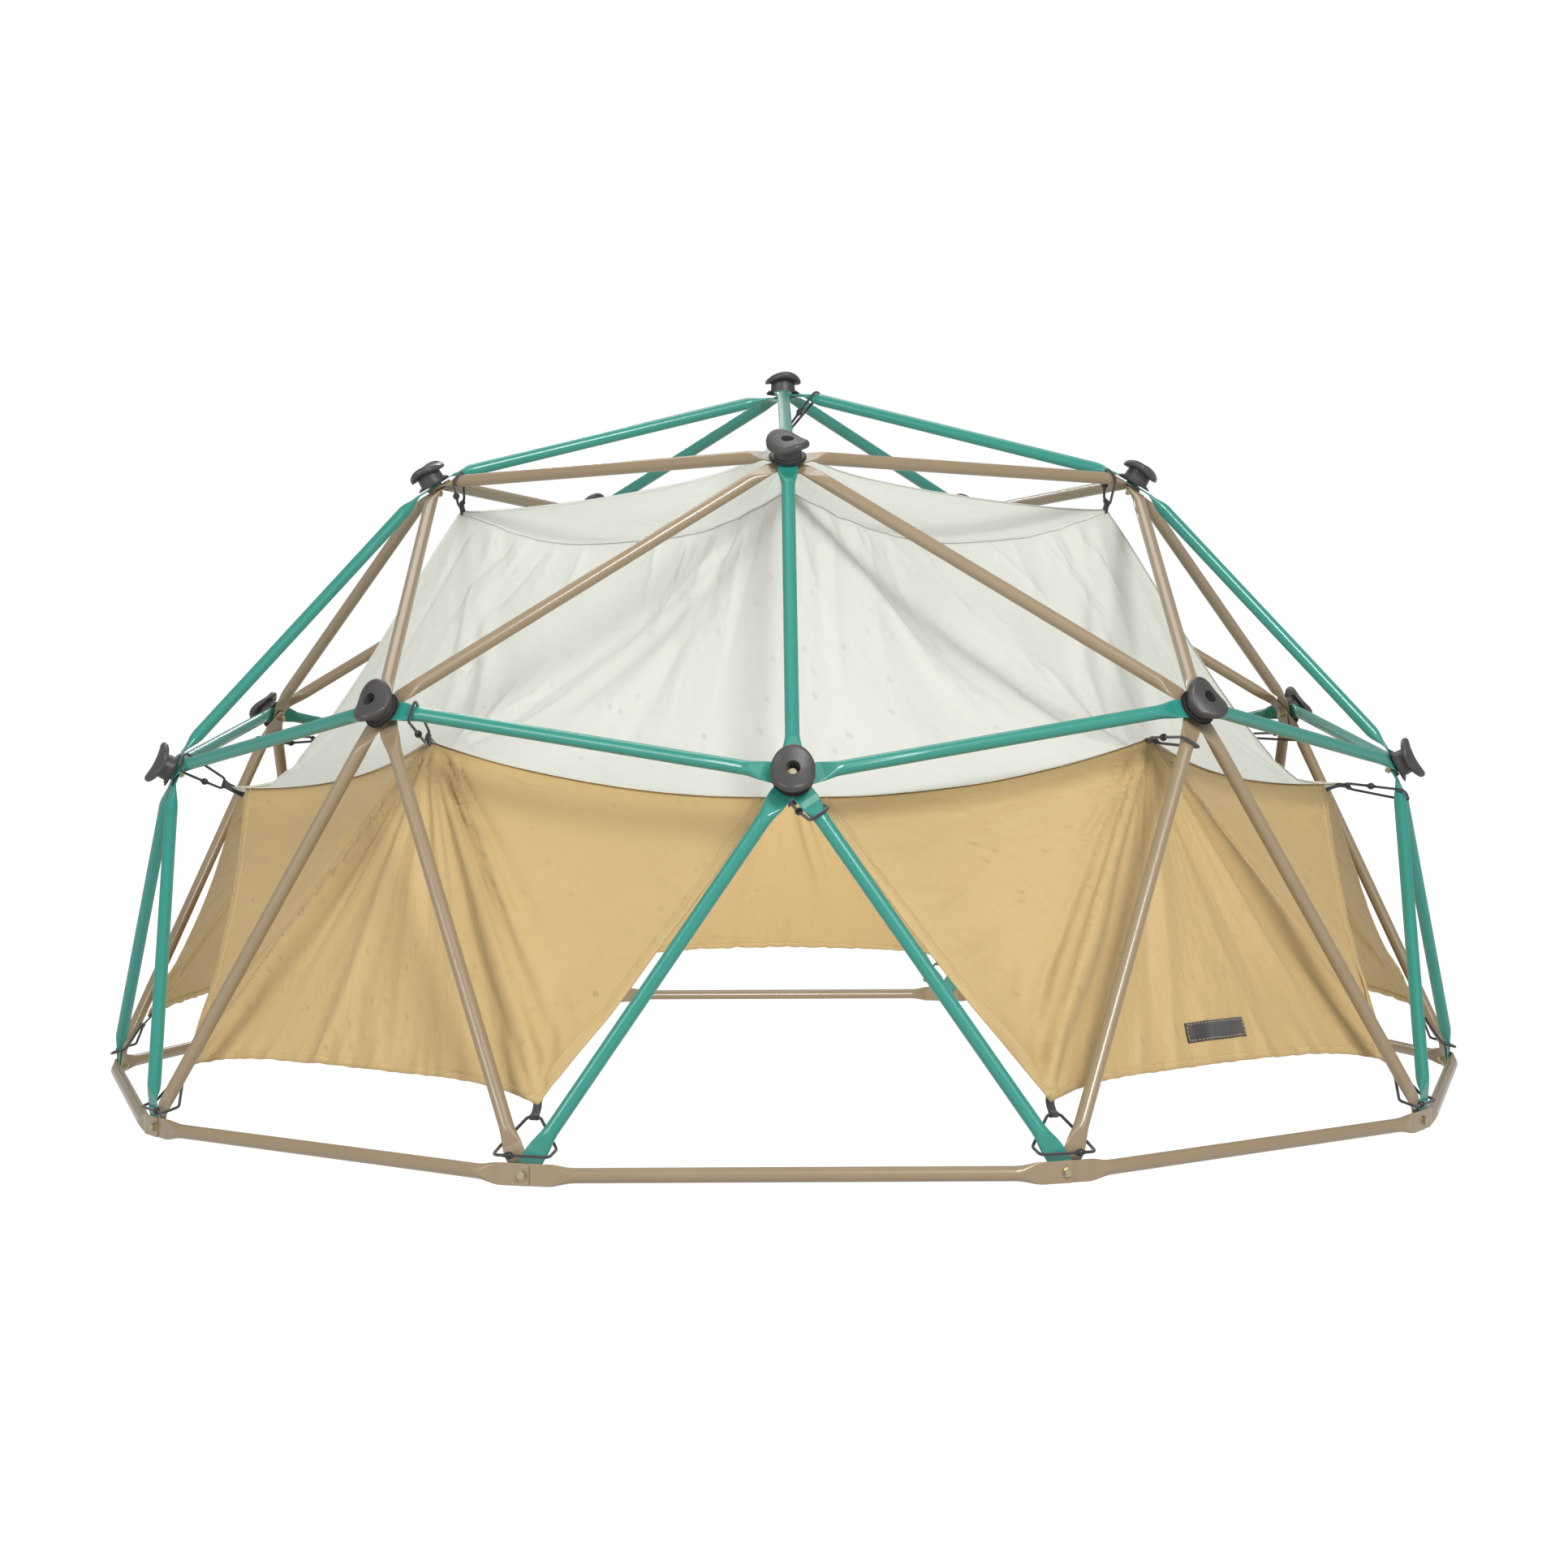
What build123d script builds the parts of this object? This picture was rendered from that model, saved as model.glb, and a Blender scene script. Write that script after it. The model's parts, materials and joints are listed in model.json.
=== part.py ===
"""A fabric shelter tied inside a bolted geodesic dome frame.

The frame is half of a two-frequency geodesic sphere: 26 hubs on five rings, joined by 65 steel tubes
of two lengths. Each tube's ends are pressed flat, bent to lie square to the hub, and stacked on one bolt.
A fabric roof and five fabric walls hang inside, held at 26 corners by elastic loops with ball toggles.

Units are millimetres. The origin is the middle of the footprint on the ground, +Z is up, and -Y is the
front, where one of the five triangular doorways faces. Rings are counted anticlockwise from the front.
"""

from build123d import *
import os
from math import cos, hypot, pi, radians, sin, sqrt

# ---------------------------------------------------------------- driving sizes
HUB_RADIUS = 1460.0  # middle of the dome's sphere to the middle of a hub's stacked tube ends
TUBE_DIAMETER = 25.4
TUBE_WALL = 1.4
SIDES = 5
FRONT = -90.0  # azimuth of the front, in degrees from +X
LAST = SIDES - 1  # the side to the left of the front doorway

# tube ends
TAB_THICKNESS = 2 * TUBE_WALL
TAB_REACH = 12.0  # past the bolt
TAB_CORNER = 5.0  # clipped corner of the flat end
TAB_LENGTH = 42.0  # from the bolt to the bend
FLARE_LENGTH = 46.0  # from the bend to the full round tube
FLARE_STEPS = 4
STACK_PITCH = TAB_THICKNESS + 0.1  # tube ends one on another
PRESSED_EDGE = 0.5  # how much the ground flattens the lowest edge of a base tube's end
CAVITY_GAP = 0.4  # height left inside the tube where it is pressed flat
ROUND_FLAT = 0.1  # the round tube's section keeps this much straight, so every section has four sides

# bolts, nuts and washers
BOLT_DIAMETER = 8.0
BOLT_HOLE = 9.0
BOLT_HEAD_WIDTH = 13.0  # across flats
BOLT_HEAD_HEIGHT = 5.3
BOLT_HEAD_CHAMFER = 0.7
NUT_HEIGHT = 6.5
WASHER_DIAMETER = 18.0
WASHER_THICKNESS = 1.6
BOLT_END = 3.0  # past the nut
FASTENER_GAP = 0.05  # between faces that press together

# grip caps on the sixteen upper hubs
PAD_DIAMETER = 72.0
PAD_THICKNESS = 2.5
FLANGE_DIAMETER = 64.0
FLANGE_THICKNESS = 3.0
NECK_DIAMETER = 54.0
NECK_TOP_DIAMETER = 50.0
GRIP_LENGTH = 88.0  # lobe to lobe
GRIP_WIDTH = 78.0
GRIP_THICKNESS = 15.0
GRIP_HEIGHT = 30.0  # flange to the middle of the saddle's thickness
GRIP_RISE = 6.0  # how far the two lobes stand up
GRIP_DROP = 8.0  # how far the other two sides turn down
RECESS_DIAMETER = 20.0
RECESS_MOUTH = 25.0
RECESS_FLOOR = 14.0  # height of the bolt head's seat

# canopy, as distance from the dome's axis and height above the base bolts
PEAK_HEIGHT = 1375.0
CROWN_CORNER = (712.0, 1192.0)
CROWN_DIP = (560.0, 1112.0)  # lowest point of the seam between two crown corners
MIDDLE_CORNER = (1124.0, 714.0)
SIDE_CORNER = (1193.0, 617.0)
HEM_CORNER = (1395.0, 105.0)
SHEET_SHARE = 0.0012  # sheet thickness as a share of its distance from the canopy's middle
CANOPY_MIDDLE_HEIGHT = 400.0
DOORWAY_SHARE = 0.06  # how far along the roof's edge each wall starts, leaving the doorway's top open
HINGE_DROP = 12.0  # the wall swings from a line this far below its side corners
HINGE_GAP = 4.0
PATCH_SIZE = (140.0, 36.0)
PATCH_THICKNESS = 1.0
PATCH_GAP = 1.5
PATCH_SHIFT = -7.0  # from the middle of its wall, towards the right
PATCH_HEIGHT = 93.0

# ties
CORD_DIAMETER = 5.4
CORD_GAP = 0.6
TAB_STRAP_LENGTH = 24.0
TAB_STRAP_WIDTH = 15.0
WEBBING_THICKNESS = 1.2
EYE_RADIUS = 3.7
EYE_HALF_WIDTH = 10.5  # half the cord's spread where it leaves the webbing eye
EYE_BEND = 5.0
TIE_REACH = 70.0  # from the hub's bolt to where an upper tie goes round a tube
TIE_HALF_WIDTH = 22.0
TIE_BEND = 15.0
HEM_TIE_HEIGHT = 32.0  # above the base bolt
HEM_TIE_FRONT = 9.5  # cord's distance outside the hub's middle
HEM_TIE_HALF_WIDTH = 50.0
HEM_TIE_KNEE = (76.0, 52.0, -16.0)  # where each strand turns outwards behind the legs, in the tie's axes
HEM_TIE_BEND = 8.0
TOGGLE_LENGTH = 18.0
TOGGLE_DIAMETER = 14.0
TOGGLE_COLLAR = 7.0
TOGGLE_GAP = 0.3
TOGGLE_PLACE = 0.42  # share of the loop's long side, from the tab
HEM_TOGGLE_PLACE = 0.72  # share of the loop's front side

# ---------------------------------------------------------------- the hubs
GOLDEN = (1 + sqrt(5)) / 2
TURN = 360 / SIDES
RING_HEIGHT = {
    "apex": 1.0,
    "crown": GOLDEN / hypot(GOLDEN, 1),
    "corner": 1 / sqrt(SIDES),
    "middle": 1 / hypot(GOLDEN, 1),
    "base": 0.0,
}
RING_COUNT = {"apex": 1, "crown": SIDES, "corner": SIDES, "middle": SIDES, "base": 2 * SIDES}
TAB_WIDTH = TAB_THICKNESS + pi / 2 * (TUBE_DIAMETER - TAB_THICKNESS)
BOLT_HEIGHT = TAB_WIDTH / 2 - PRESSED_EDGE  # base bolts above the ground
CENTRE = Vector(0, 0, BOLT_HEIGHT)


def azimuth(ring, number):
    """Degrees from +X. Middle and base hubs stand half a step round from the front."""
    step = 360 / RING_COUNT[ring]
    start = step / 2 if ring in ("middle", "base") else 0
    return FRONT + start + step * (number % RING_COUNT[ring])


def polar(place, degrees):
    """A point from its (distance from the axis, height above the base bolts) and its azimuth."""
    distance, height = place
    return CENTRE + Vector(distance * cos(radians(degrees)), distance * sin(radians(degrees)), height)


def direction(hub):
    """Unit vector from the dome's middle to a hub, which is also its bolt's direction."""
    ring, number = hub
    height = RING_HEIGHT[ring]
    return (polar((sqrt(1 - height**2), height), azimuth(ring, number)) - CENTRE).normalized()


def hub_place(hub):
    return CENTRE + direction(hub) * HUB_RADIUS


def tube_list():
    """The tubes of each group, as pairs of hubs. Earlier groups lie outermost on a shared hub."""
    fives = range(SIDES)
    base_count = RING_COUNT["base"]

    def crown(k):
        return ("crown", k % SIDES)

    def corner(k):
        return ("corner", k % SIDES)

    def middle(k):
        return ("middle", k % SIDES)

    def base(k):
        return ("base", k % base_count)

    return {
        "base_ring_tubes": [(base(k), base(k + 1)) for k in range(base_count)],
        "crown_tubes": [(("apex", 0), crown(k)) for k in fives],
        "upper_spine_tubes": [(crown(k), corner(k)) for k in fives],
        "middle_ring_tubes": [(corner(k), middle(k + s)) for k in fives for s in (-1, 0)],
        "doorway_leg_tubes": [(corner(k), base(2 * k + s)) for k in fives for s in (-1, 0)],
        "crown_ring_tubes": [(crown(k), crown(k + 1)) for k in fives],
        "upper_brace_tubes": [(crown(k), middle(k + s)) for k in fives for s in (-1, 0)],
        "lower_brace_tubes": [(middle(k), base(2 * k + s)) for k in fives for s in (0, 1)],
    }


TUBES = tube_list()
HUBS = [(ring, number) for ring, count in RING_COUNT.items() for number in range(count)]
CAPPED_HUBS = [hub for hub in HUBS if hub[0] != "base"]
BASE_HUBS = [hub for hub in HUBS if hub[0] == "base"]


def stack_order():
    """For each hub, the tubes bolted to it, outermost first."""
    order = {hub: [] for hub in HUBS}
    for pairs in TUBES.values():
        for end in (1, 0):
            for pair in pairs:
                order[pair[end]].append(pair)
    return order


STACKS = stack_order()


def stack_half(hub):
    """Half the height of a hub's stack of tube ends."""
    return len(STACKS[hub]) * STACK_PITCH / 2


def level(hub, pair):
    """How far outside the hub's middle one tube's flat end lies."""
    return stack_half(hub) - (STACKS[hub].index(pair) + 0.5) * STACK_PITCH


# ---------------------------------------------------------------- tubes
def end_lines(hub, other, pair):
    """Where a tube's bolt, flat direction and bend are at one of its hubs."""
    out = direction(hub)
    bolt = hub_place(hub) + out * level(hub, pair)
    across = hub_place(other) - bolt
    along = (across - out * across.dot(out)).normalized()
    return bolt, along, out


def pressed_section(place, along, out, height, width_change=0.0):
    """A tube's section pressed to a height, with the round tube's own outline length."""
    width = height + pi / 2 * (TUBE_DIAMETER - height) + width_change
    width = max(width, height + ROUND_FLAT)
    side = out.cross(along).normalized()
    return Plane(origin=place, x_dir=side, z_dir=along) * SlotOverall(width, height)


def flare_height(share, flat, full):
    """Section height along the flare, with a soft start and end."""
    return flat + (full - flat) * share * share * (3 - 2 * share)


def tube_sections(pair, inside):
    """Sections from one end of a tube to the other, for its outside or for its cavity."""
    wall = TUBE_WALL if inside else 0.0
    flat = CAVITY_GAP if inside else TAB_THICKNESS
    full = TUBE_DIAMETER - 2 * wall
    ends = [end_lines(pair[0], pair[1], pair), end_lines(pair[1], pair[0], pair)]
    bends = [bolt + along * TAB_LENGTH for bolt, along, out in ends]
    axis = (bends[1] - bends[0]).normalized()
    halves = []
    for (bolt, along, out), bend, sign in zip(ends, bends, (1, -1)):
        run = axis * sign
        facing = (out - run * out.dot(run)).normalized()
        half = []
        if not inside:
            tip = bolt - along * TAB_REACH
            half.append(pressed_section(tip, along, out, flat, -2 * TAB_CORNER))
            half.append(pressed_section(tip + along * TAB_CORNER, along, out, flat))
            half.append(pressed_section(bend, (along + run).normalized(), out, flat))
        for step in range(1, FLARE_STEPS + 1):
            share = step / FLARE_STEPS
            height = flare_height(share, flat, full)
            place = bend + run * FLARE_LENGTH * share
            half.append(pressed_section(place, run, facing, height, -pi * wall))
        halves.append(half)
    return halves[0] + halves[1][::-1]


def bolt_hole(hub, pair):
    out = direction(hub)
    place = hub_place(hub) + out * level(hub, pair)
    return Plane(origin=place, z_dir=out) * Cylinder(BOLT_HOLE / 2, 2 * TAB_THICKNESS)


def tube(pair):
    """One steel tube with both ends pressed flat, bent and drilled."""
    outside = loft(tube_sections(pair, inside=False), ruled=True)
    cavity = loft(tube_sections(pair, inside=True), ruled=True)
    solid = outside - cavity - bolt_hole(pair[0], pair) - bolt_hole(pair[1], pair)
    if pair[0][0] == "base":
        solid = split(solid, Plane.XY, keep=Keep.TOP)
    return solid


# ---------------------------------------------------------------- hub hardware
def hub_plane(hub, height):
    """A plane facing outwards at a height above the hub's middle, with its X pointing up the dome."""
    out = direction(hub)
    up = Vector(0, 0, 1) if out.Z < 0.999 else Vector(0, 1, 0)
    uphill = up - out * up.dot(out)
    return Plane(origin=hub_place(hub) + out * height, x_dir=uphill, z_dir=out)


def washer(diameter, thickness):
    """A washer standing on its plane."""
    ring = Circle(diameter / 2) - Circle(BOLT_HOLE / 2)
    return extrude(ring, thickness)


def hexagon(across_flats):
    return RegularPolygon(across_flats / 2, 6, major_radius=False)


def bolt(length):
    """A hexagon bolt hanging below its plane, with its head standing on it."""
    head = extrude(hexagon(BOLT_HEAD_WIDTH), BOLT_HEAD_HEIGHT)
    head = chamfer(head.edges().sort_by(Axis.Z)[-6:], BOLT_HEAD_CHAMFER)
    return head + extrude(Circle(BOLT_DIAMETER / 2), -length)


def nut():
    """A hexagon nut hanging below its plane."""
    return extrude(hexagon(BOLT_HEAD_WIDTH) - Circle(BOLT_DIAMETER / 2 + FASTENER_GAP), -NUT_HEIGHT)


def grip_section(share):
    """The saddle's section across its width, at a share of the half width from the middle."""
    half_length = GRIP_LENGTH / 2 * sqrt(1 - share**2)
    thickness = GRIP_THICKNESS * sqrt(1 - share**4)
    straight = half_length - thickness / 2
    rise = GRIP_RISE * (straight / (GRIP_LENGTH / 2)) ** 2
    middle = GRIP_HEIGHT - GRIP_DROP * share**2
    arc = ThreePointArc((-straight, rise), (0, 0), (straight, rise))
    plane = Plane(origin=(0, GRIP_WIDTH / 2 * share, middle), x_dir=(1, 0, 0), z_dir=(0, -1, 0))
    return plane * SlotArc(arc, thickness)


def grip_cap():
    """A moulded hand grip: flange, neck and a saddle that is dished one way and domed the other."""
    edge_share = 0.96
    shares = [edge_share * sin(radians(angle)) for angle in (-90, -60, -30, 0, 30, 60, 90)]
    saddle = loft([grip_section(share) for share in shares])
    flange = extrude(Circle(FLANGE_DIAMETER / 2), FLANGE_THICKNESS)
    neck_ends = [Circle(NECK_DIAMETER / 2), Pos(0, 0, GRIP_HEIGHT) * Circle(NECK_TOP_DIAMETER / 2)]
    cap = saddle + flange + loft(neck_ends)
    mouth_height = GRIP_HEIGHT + GRIP_THICKNESS / 2
    recess_ends = [
        Pos(0, 0, RECESS_FLOOR) * Circle(RECESS_DIAMETER / 2),
        Pos(0, 0, mouth_height) * Circle(RECESS_MOUTH / 2),
        Pos(0, 0, mouth_height + GRIP_RISE) * Circle(RECESS_MOUTH / 2),
    ]
    return cap - loft(recess_ends, ruled=True) - Cylinder(BOLT_HOLE / 2, 2 * GRIP_HEIGHT)


def grip_turn(hub):
    """How far a cap happens to be turned on its bolt, in degrees. Corner caps dish up and down."""
    ring, number = hub
    return {"apex": 10.0, "crown": 40.0 + 50.0 * number, "corner": 0.0, "middle": 25.0 - 50.0 * number}[ring]


def capped_hub_parts():
    """The pads, caps, washers, bolts and nuts of the upper hubs."""
    cap_shape = grip_cap()
    parts = {"hub_pads": [], "grip_caps_upper": [], "grip_caps_lower": [], "hub_washers": []}
    parts.update({"hub_bolts": [], "hub_nuts": []})
    for hub in CAPPED_HUBS:
        top = stack_half(hub) + FASTENER_GAP
        cap_bottom = top + PAD_THICKNESS + FASTENER_GAP
        seat = cap_bottom + RECESS_FLOOR + FASTENER_GAP
        under = -stack_half(hub) - FASTENER_GAP
        nut_top = under - WASHER_THICKNESS - FASTENER_GAP
        head = seat + WASHER_THICKNESS + FASTENER_GAP
        parts["hub_pads"].append(hub_plane(hub, top) * washer(PAD_DIAMETER, PAD_THICKNESS))
        caps = "grip_caps_upper" if hub[0] in ("apex", "crown") else "grip_caps_lower"
        parts[caps].append(hub_plane(hub, cap_bottom) * Rot(0, 0, grip_turn(hub)) * cap_shape)
        for bottom in (seat, under - WASHER_THICKNESS):
            parts["hub_washers"].append(hub_plane(hub, bottom) * washer(WASHER_DIAMETER, WASHER_THICKNESS))
        parts["hub_bolts"].append(hub_plane(hub, head) * bolt(head - nut_top + NUT_HEIGHT + BOLT_END))
        parts["hub_nuts"].append(hub_plane(hub, nut_top) * nut())
    return parts


def base_hub_parts():
    """The bolts, washers and nuts of the base hubs, which carry no cap."""
    parts = {"base_bolts": [], "base_washers": [], "base_nuts": []}
    for hub in BASE_HUBS:
        top = stack_half(hub) + FASTENER_GAP
        head = top + WASHER_THICKNESS + FASTENER_GAP
        nut_top = -stack_half(hub) - WASHER_THICKNESS - 2 * FASTENER_GAP
        for bottom in (top, nut_top + FASTENER_GAP):
            parts["base_washers"].append(hub_plane(hub, bottom) * washer(WASHER_DIAMETER, WASHER_THICKNESS))
        parts["base_bolts"].append(hub_plane(hub, head) * bolt(head - nut_top + NUT_HEIGHT + BOLT_END))
        parts["base_nuts"].append(hub_plane(hub, nut_top) * nut())
    return parts


# ---------------------------------------------------------------- canopy
def crown_corner(k):
    return polar(CROWN_CORNER, azimuth("crown", k))


def crown_dip(k):
    return polar(CROWN_DIP, azimuth("middle", k))


def side_corner(k):
    return polar(SIDE_CORNER, azimuth("corner", k))


def middle_corner(k):
    return polar(MIDDLE_CORNER, azimuth("middle", k))


def hem_corner(k):
    return polar(HEM_CORNER, azimuth("base", k))


def shrunk(point):
    """A point moved inwards by the sheet's thickness."""
    middle = CENTRE + Vector(0, 0, CANOPY_MIDDLE_HEIGHT)
    return middle + (point - middle) * (1 - SHEET_SHARE)


def folded_sheet(triangles):
    """A thin closed sheet. Its inner face is its outer one shrunk towards the canopy's middle."""
    counts = {}
    for corners in triangles:
        for start, end in zip(corners, corners[1:] + corners[:1]):
            key = frozenset((tuple(start), tuple(end)))
            counts.setdefault(key, []).append((start, end))
    rims = [edges[0] for edges in counts.values() if len(edges) == 1]
    outlines = [list(corners) for corners in triangles]
    outlines += [[shrunk(point) for point in corners] for corners in triangles]
    outlines += [[start, end, shrunk(end), shrunk(start)] for start, end in rims]
    return Solid(Shell([Face(Wire.make_polygon(points)) for points in outlines]))


def roof_top():
    """The five-sided peak."""
    peak = CENTRE + Vector(0, 0, PEAK_HEIGHT)
    triangles = []
    for k in range(SIDES):
        triangles.append((peak, crown_corner(k), crown_dip(k)))
        triangles.append((peak, crown_dip(k), crown_corner(k + 1)))
    return folded_sheet(triangles)


def roof_side(k):
    """The roof's steep side between two spines, down to where the wall hangs."""
    left, right, dip, low = crown_corner(k), crown_corner(k + 1), crown_dip(k), middle_corner(k)
    return folded_sheet([
        (left, side_corner(k), low),
        (left, low, dip),
        (dip, low, right),
        (right, low, side_corner(k + 1)),
    ])


def wall(k):
    """One wall, from the roof's edge to its hem, whose sides are the edges of two doorways."""
    low = middle_corner(k)
    top_left = side_corner(k) + (low - side_corner(k)) * DOORWAY_SHARE
    top_right = side_corner(k + 1) + (low - side_corner(k + 1)) * DOORWAY_SHARE
    hem_left, hem_right = hem_corner(2 * k), hem_corner(2 * k + 1)
    return folded_sheet([(top_left, hem_left, low), (low, hem_left, hem_right), (low, hem_right, top_right)])


def wall_halves(k):
    """The wall's fixed head above its hinge line, and the part that swings."""
    hinge_height = BOLT_HEIGHT + SIDE_CORNER[1] - HINGE_DROP
    above = Plane.XY.offset(hinge_height + HINGE_GAP / 2)
    below = Plane.XY.offset(hinge_height - HINGE_GAP / 2)
    return split(wall(k), above, keep=Keep.TOP), split(wall(k), below, keep=Keep.BOTTOM)


def wall_patch():
    """A plain sewn patch on the outside of the first wall, low and near the middle of its width."""
    low, left, right = middle_corner(0), hem_corner(0), hem_corner(1)
    across = (right - left).normalized()
    outwards = (right - left).cross(low - left).normalized()
    uphill = outwards.cross(across).normalized()
    place = (left + right) * 0.5 + across * PATCH_SHIFT + uphill * PATCH_HEIGHT + outwards * PATCH_GAP
    outline = RectangleRounded(*PATCH_SIZE, PATCH_THICKNESS * 4)
    return Plane(origin=place, x_dir=across, z_dir=outwards) * extrude(outline, PATCH_THICKNESS)


# ---------------------------------------------------------------- ties
class Tie:
    """A webbing tab on a canopy corner, and the elastic loop that joins it to the frame.

    The tie's axes start at the corner, with X towards the frame and Y along the tab's eye. The loop's turns
    on its left side are given from the frame's end, and its right side mirrors them.
    """

    def __init__(self, corner, frame_point, side, turns, bend, toggle_side, toggle_place):
        x_dir = (frame_point - corner).normalized()
        side = (side - x_dir * side.dot(x_dir)).normalized()
        self.plane = Plane(origin=corner, x_dir=x_dir, z_dir=x_dir.cross(side))
        left = turns + [(TAB_STRAP_LENGTH, EYE_HALF_WIDTH, 0)]
        right = [(along, -across, out) for along, across, out in left]
        self.corners = [left[0]] + right + left[:0:-1]
        bends = [bend] * len(turns) + [EYE_BEND]
        self.bends = [bends[0]] + bends + bends[:0:-1]
        self.toggle_side = toggle_side
        self.toggle_place = toggle_place

    def corner(self, number):
        return Vector(*self.corners[number % len(self.corners)])

    def toggle_line(self):
        """The toggle's middle and its direction along the loop, in the tie's axes."""
        start, end = self.corner(self.toggle_side), self.corner(self.toggle_side + 1)
        return start + (end - start) * self.toggle_place, (end - start).normalized()

    def cord(self):
        """The loop, open where the toggle joins its two ends."""
        middle, along = self.toggle_line()
        gap = along * (TOGGLE_LENGTH / 2 + TOGGLE_GAP)
        count = len(self.corners)
        order = [(self.toggle_side + 1 + step) % count for step in range(count)]
        points = [middle + gap] + [self.corner(number) for number in order] + [middle - gap]
        path = FilletPolyline(*points, radius=[self.bends[number] for number in order])
        section = Plane(origin=path @ 0, z_dir=path % 0) * Circle(CORD_DIAMETER / 2)
        return self.plane * sweep(section, path=path)

    def toggle(self):
        """A ball with a short collar at each end."""
        middle, along = self.toggle_line()
        line = Plane(origin=middle, z_dir=along)
        ball = Sphere(TOGGLE_DIAMETER / 2)
        return self.plane * (line * (ball + Cylinder(TOGGLE_COLLAR / 2, TOGGLE_LENGTH)))

    def tab(self):
        """Folded webbing, sewn flat to the canopy and open as an eye round the cord."""
        outer = EYE_RADIUS + WEBBING_THICKNESS
        start = 1.0
        strap_end = TAB_STRAP_LENGTH - EYE_RADIUS
        strap = Pos((start + strap_end) / 2, 0) * Rectangle(strap_end - start, 2 * WEBBING_THICKNESS)
        eye = Pos(TAB_STRAP_LENGTH, 0)
        outline = strap + eye * Circle(outer) - eye * Circle(EYE_RADIUS)
        return self.plane * Plane.XZ * extrude(outline, TAB_STRAP_WIDTH / 2, both=True)


def upper_tie(corner, hub, other):
    """A loop round one tube, a short way from its hub."""
    pair = (hub, other) if (hub, other) in STACKS[hub] else (other, hub)
    bolt_place, along, _ = end_lines(hub, other, pair)
    tube_run = (hub_place(other) - bolt_place).normalized()
    bend = bolt_place + along * TAB_LENGTH
    round_point = bend + tube_run * (TIE_REACH - TAB_LENGTH)
    side = tube_run.cross(round_point - corner)
    far = (round_point - corner).length + TUBE_DIAMETER / 2 + CORD_DIAMETER / 2 + CORD_GAP
    return Tie(corner, round_point, side, [(far, TIE_HALF_WIDTH, 0)], TIE_BEND, -1, TOGGLE_PLACE)


def hem_tie(k):
    """A loop from the hem round the two legs that stand on one base hub."""
    hub = ("base", k)
    out = direction(hub)
    front = hub_place(hub) + out * HEM_TIE_FRONT + Vector(0, 0, HEM_TIE_HEIGHT)
    across = Vector(0, 0, 1).cross(out)
    far = (front - hem_corner(k)).length
    place = HEM_TOGGLE_PLACE if k % 2 else 1 - HEM_TOGGLE_PLACE
    turns = [(far, HEM_TIE_HALF_WIDTH, 0), HEM_TIE_KNEE]
    return Tie(hem_corner(k), front, across, turns, HEM_TIE_BEND, 0, place)


def all_ties():
    """Every tie by its place in the canopy. On the front left, two ties go round the middle ring's tubes.

    The front crown tie goes round the tube to the apex, behind its hub.
    """
    ties = {"apex": upper_tie(CENTRE + Vector(0, 0, PEAK_HEIGHT), ("apex", 0), ("crown", 1))}
    for k in range(SIDES):
        rightwards = k > SIDES // 2 or k == 0
        along_ring = (k + 1) % SIDES if rightwards else k - 1
        held_by = ("crown", along_ring) if k else ("apex", 0)
        ties[f"crown_{k}"] = upper_tie(crown_corner(k), ("crown", k), held_by)
        leg = (2 * k if rightwards else 2 * k - 1) % RING_COUNT["base"]
        held_by = ("middle", k) if k == LAST else ("base", leg)
        ties[f"corner_{k}"] = upper_tie(side_corner(k), ("corner", k), held_by)
        leg = 2 * k if k < SIDES // 2 else 2 * k + 1
        held_by = ("corner", 0) if k == LAST else ("base", leg)
        ties[f"middle_{k}"] = upper_tie(middle_corner(k), ("middle", k), held_by)
    for k in range(2 * SIDES):
        ties[f"base_{k}"] = hem_tie(k)
    return ties


# ---------------------------------------------------------------- build and write
def build():
    """Every node's solids by node name."""
    nodes = {name: [tube(pair) for pair in pairs] for name, pairs in TUBES.items()}
    nodes.update(capped_hub_parts())
    nodes.update(base_hub_parts())
    nodes["roof_top"] = [roof_top()]
    nodes["roof_sides"] = [roof_side(k) for k in range(SIDES)]
    nodes["wall_heads"] = []
    for k in range(SIDES):
        head, flap = wall_halves(k)
        nodes["wall_heads"].append(head)
        nodes[f"wall_{k}"] = [flap]
    nodes["wall_patch"] = [wall_patch()]
    ties = all_ties()
    upper = [tie for name, tie in ties.items() if not name.startswith("base")]
    nodes["roof_cords"] = [tie.cord() for tie in upper]
    nodes["roof_tabs"] = [tie.tab() for tie in upper]
    nodes["hem_cords"] = [ties[f"base_{k}"].cord() for k in range(2 * SIDES)]
    for k in range(SIDES):
        nodes[f"hem_tabs_{k}"] = [ties[f"base_{2 * k}"].tab(), ties[f"base_{2 * k + 1}"].tab()]
    for name, tie in ties.items():
        nodes[f"toggle_{name}"] = [tie.toggle()]
    return nodes


os.makedirs("parts", exist_ok=True)
for node, pieces in build().items():
    solids = [solid for piece in pieces for solid in piece.solids()]
    export_step(Compound(children=solids) if len(solids) > 1 else solids[0], f"parts/{node}.step")
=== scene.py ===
import json
import math

import bpy
import numpy as np
from mathutils import Matrix, Vector


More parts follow.
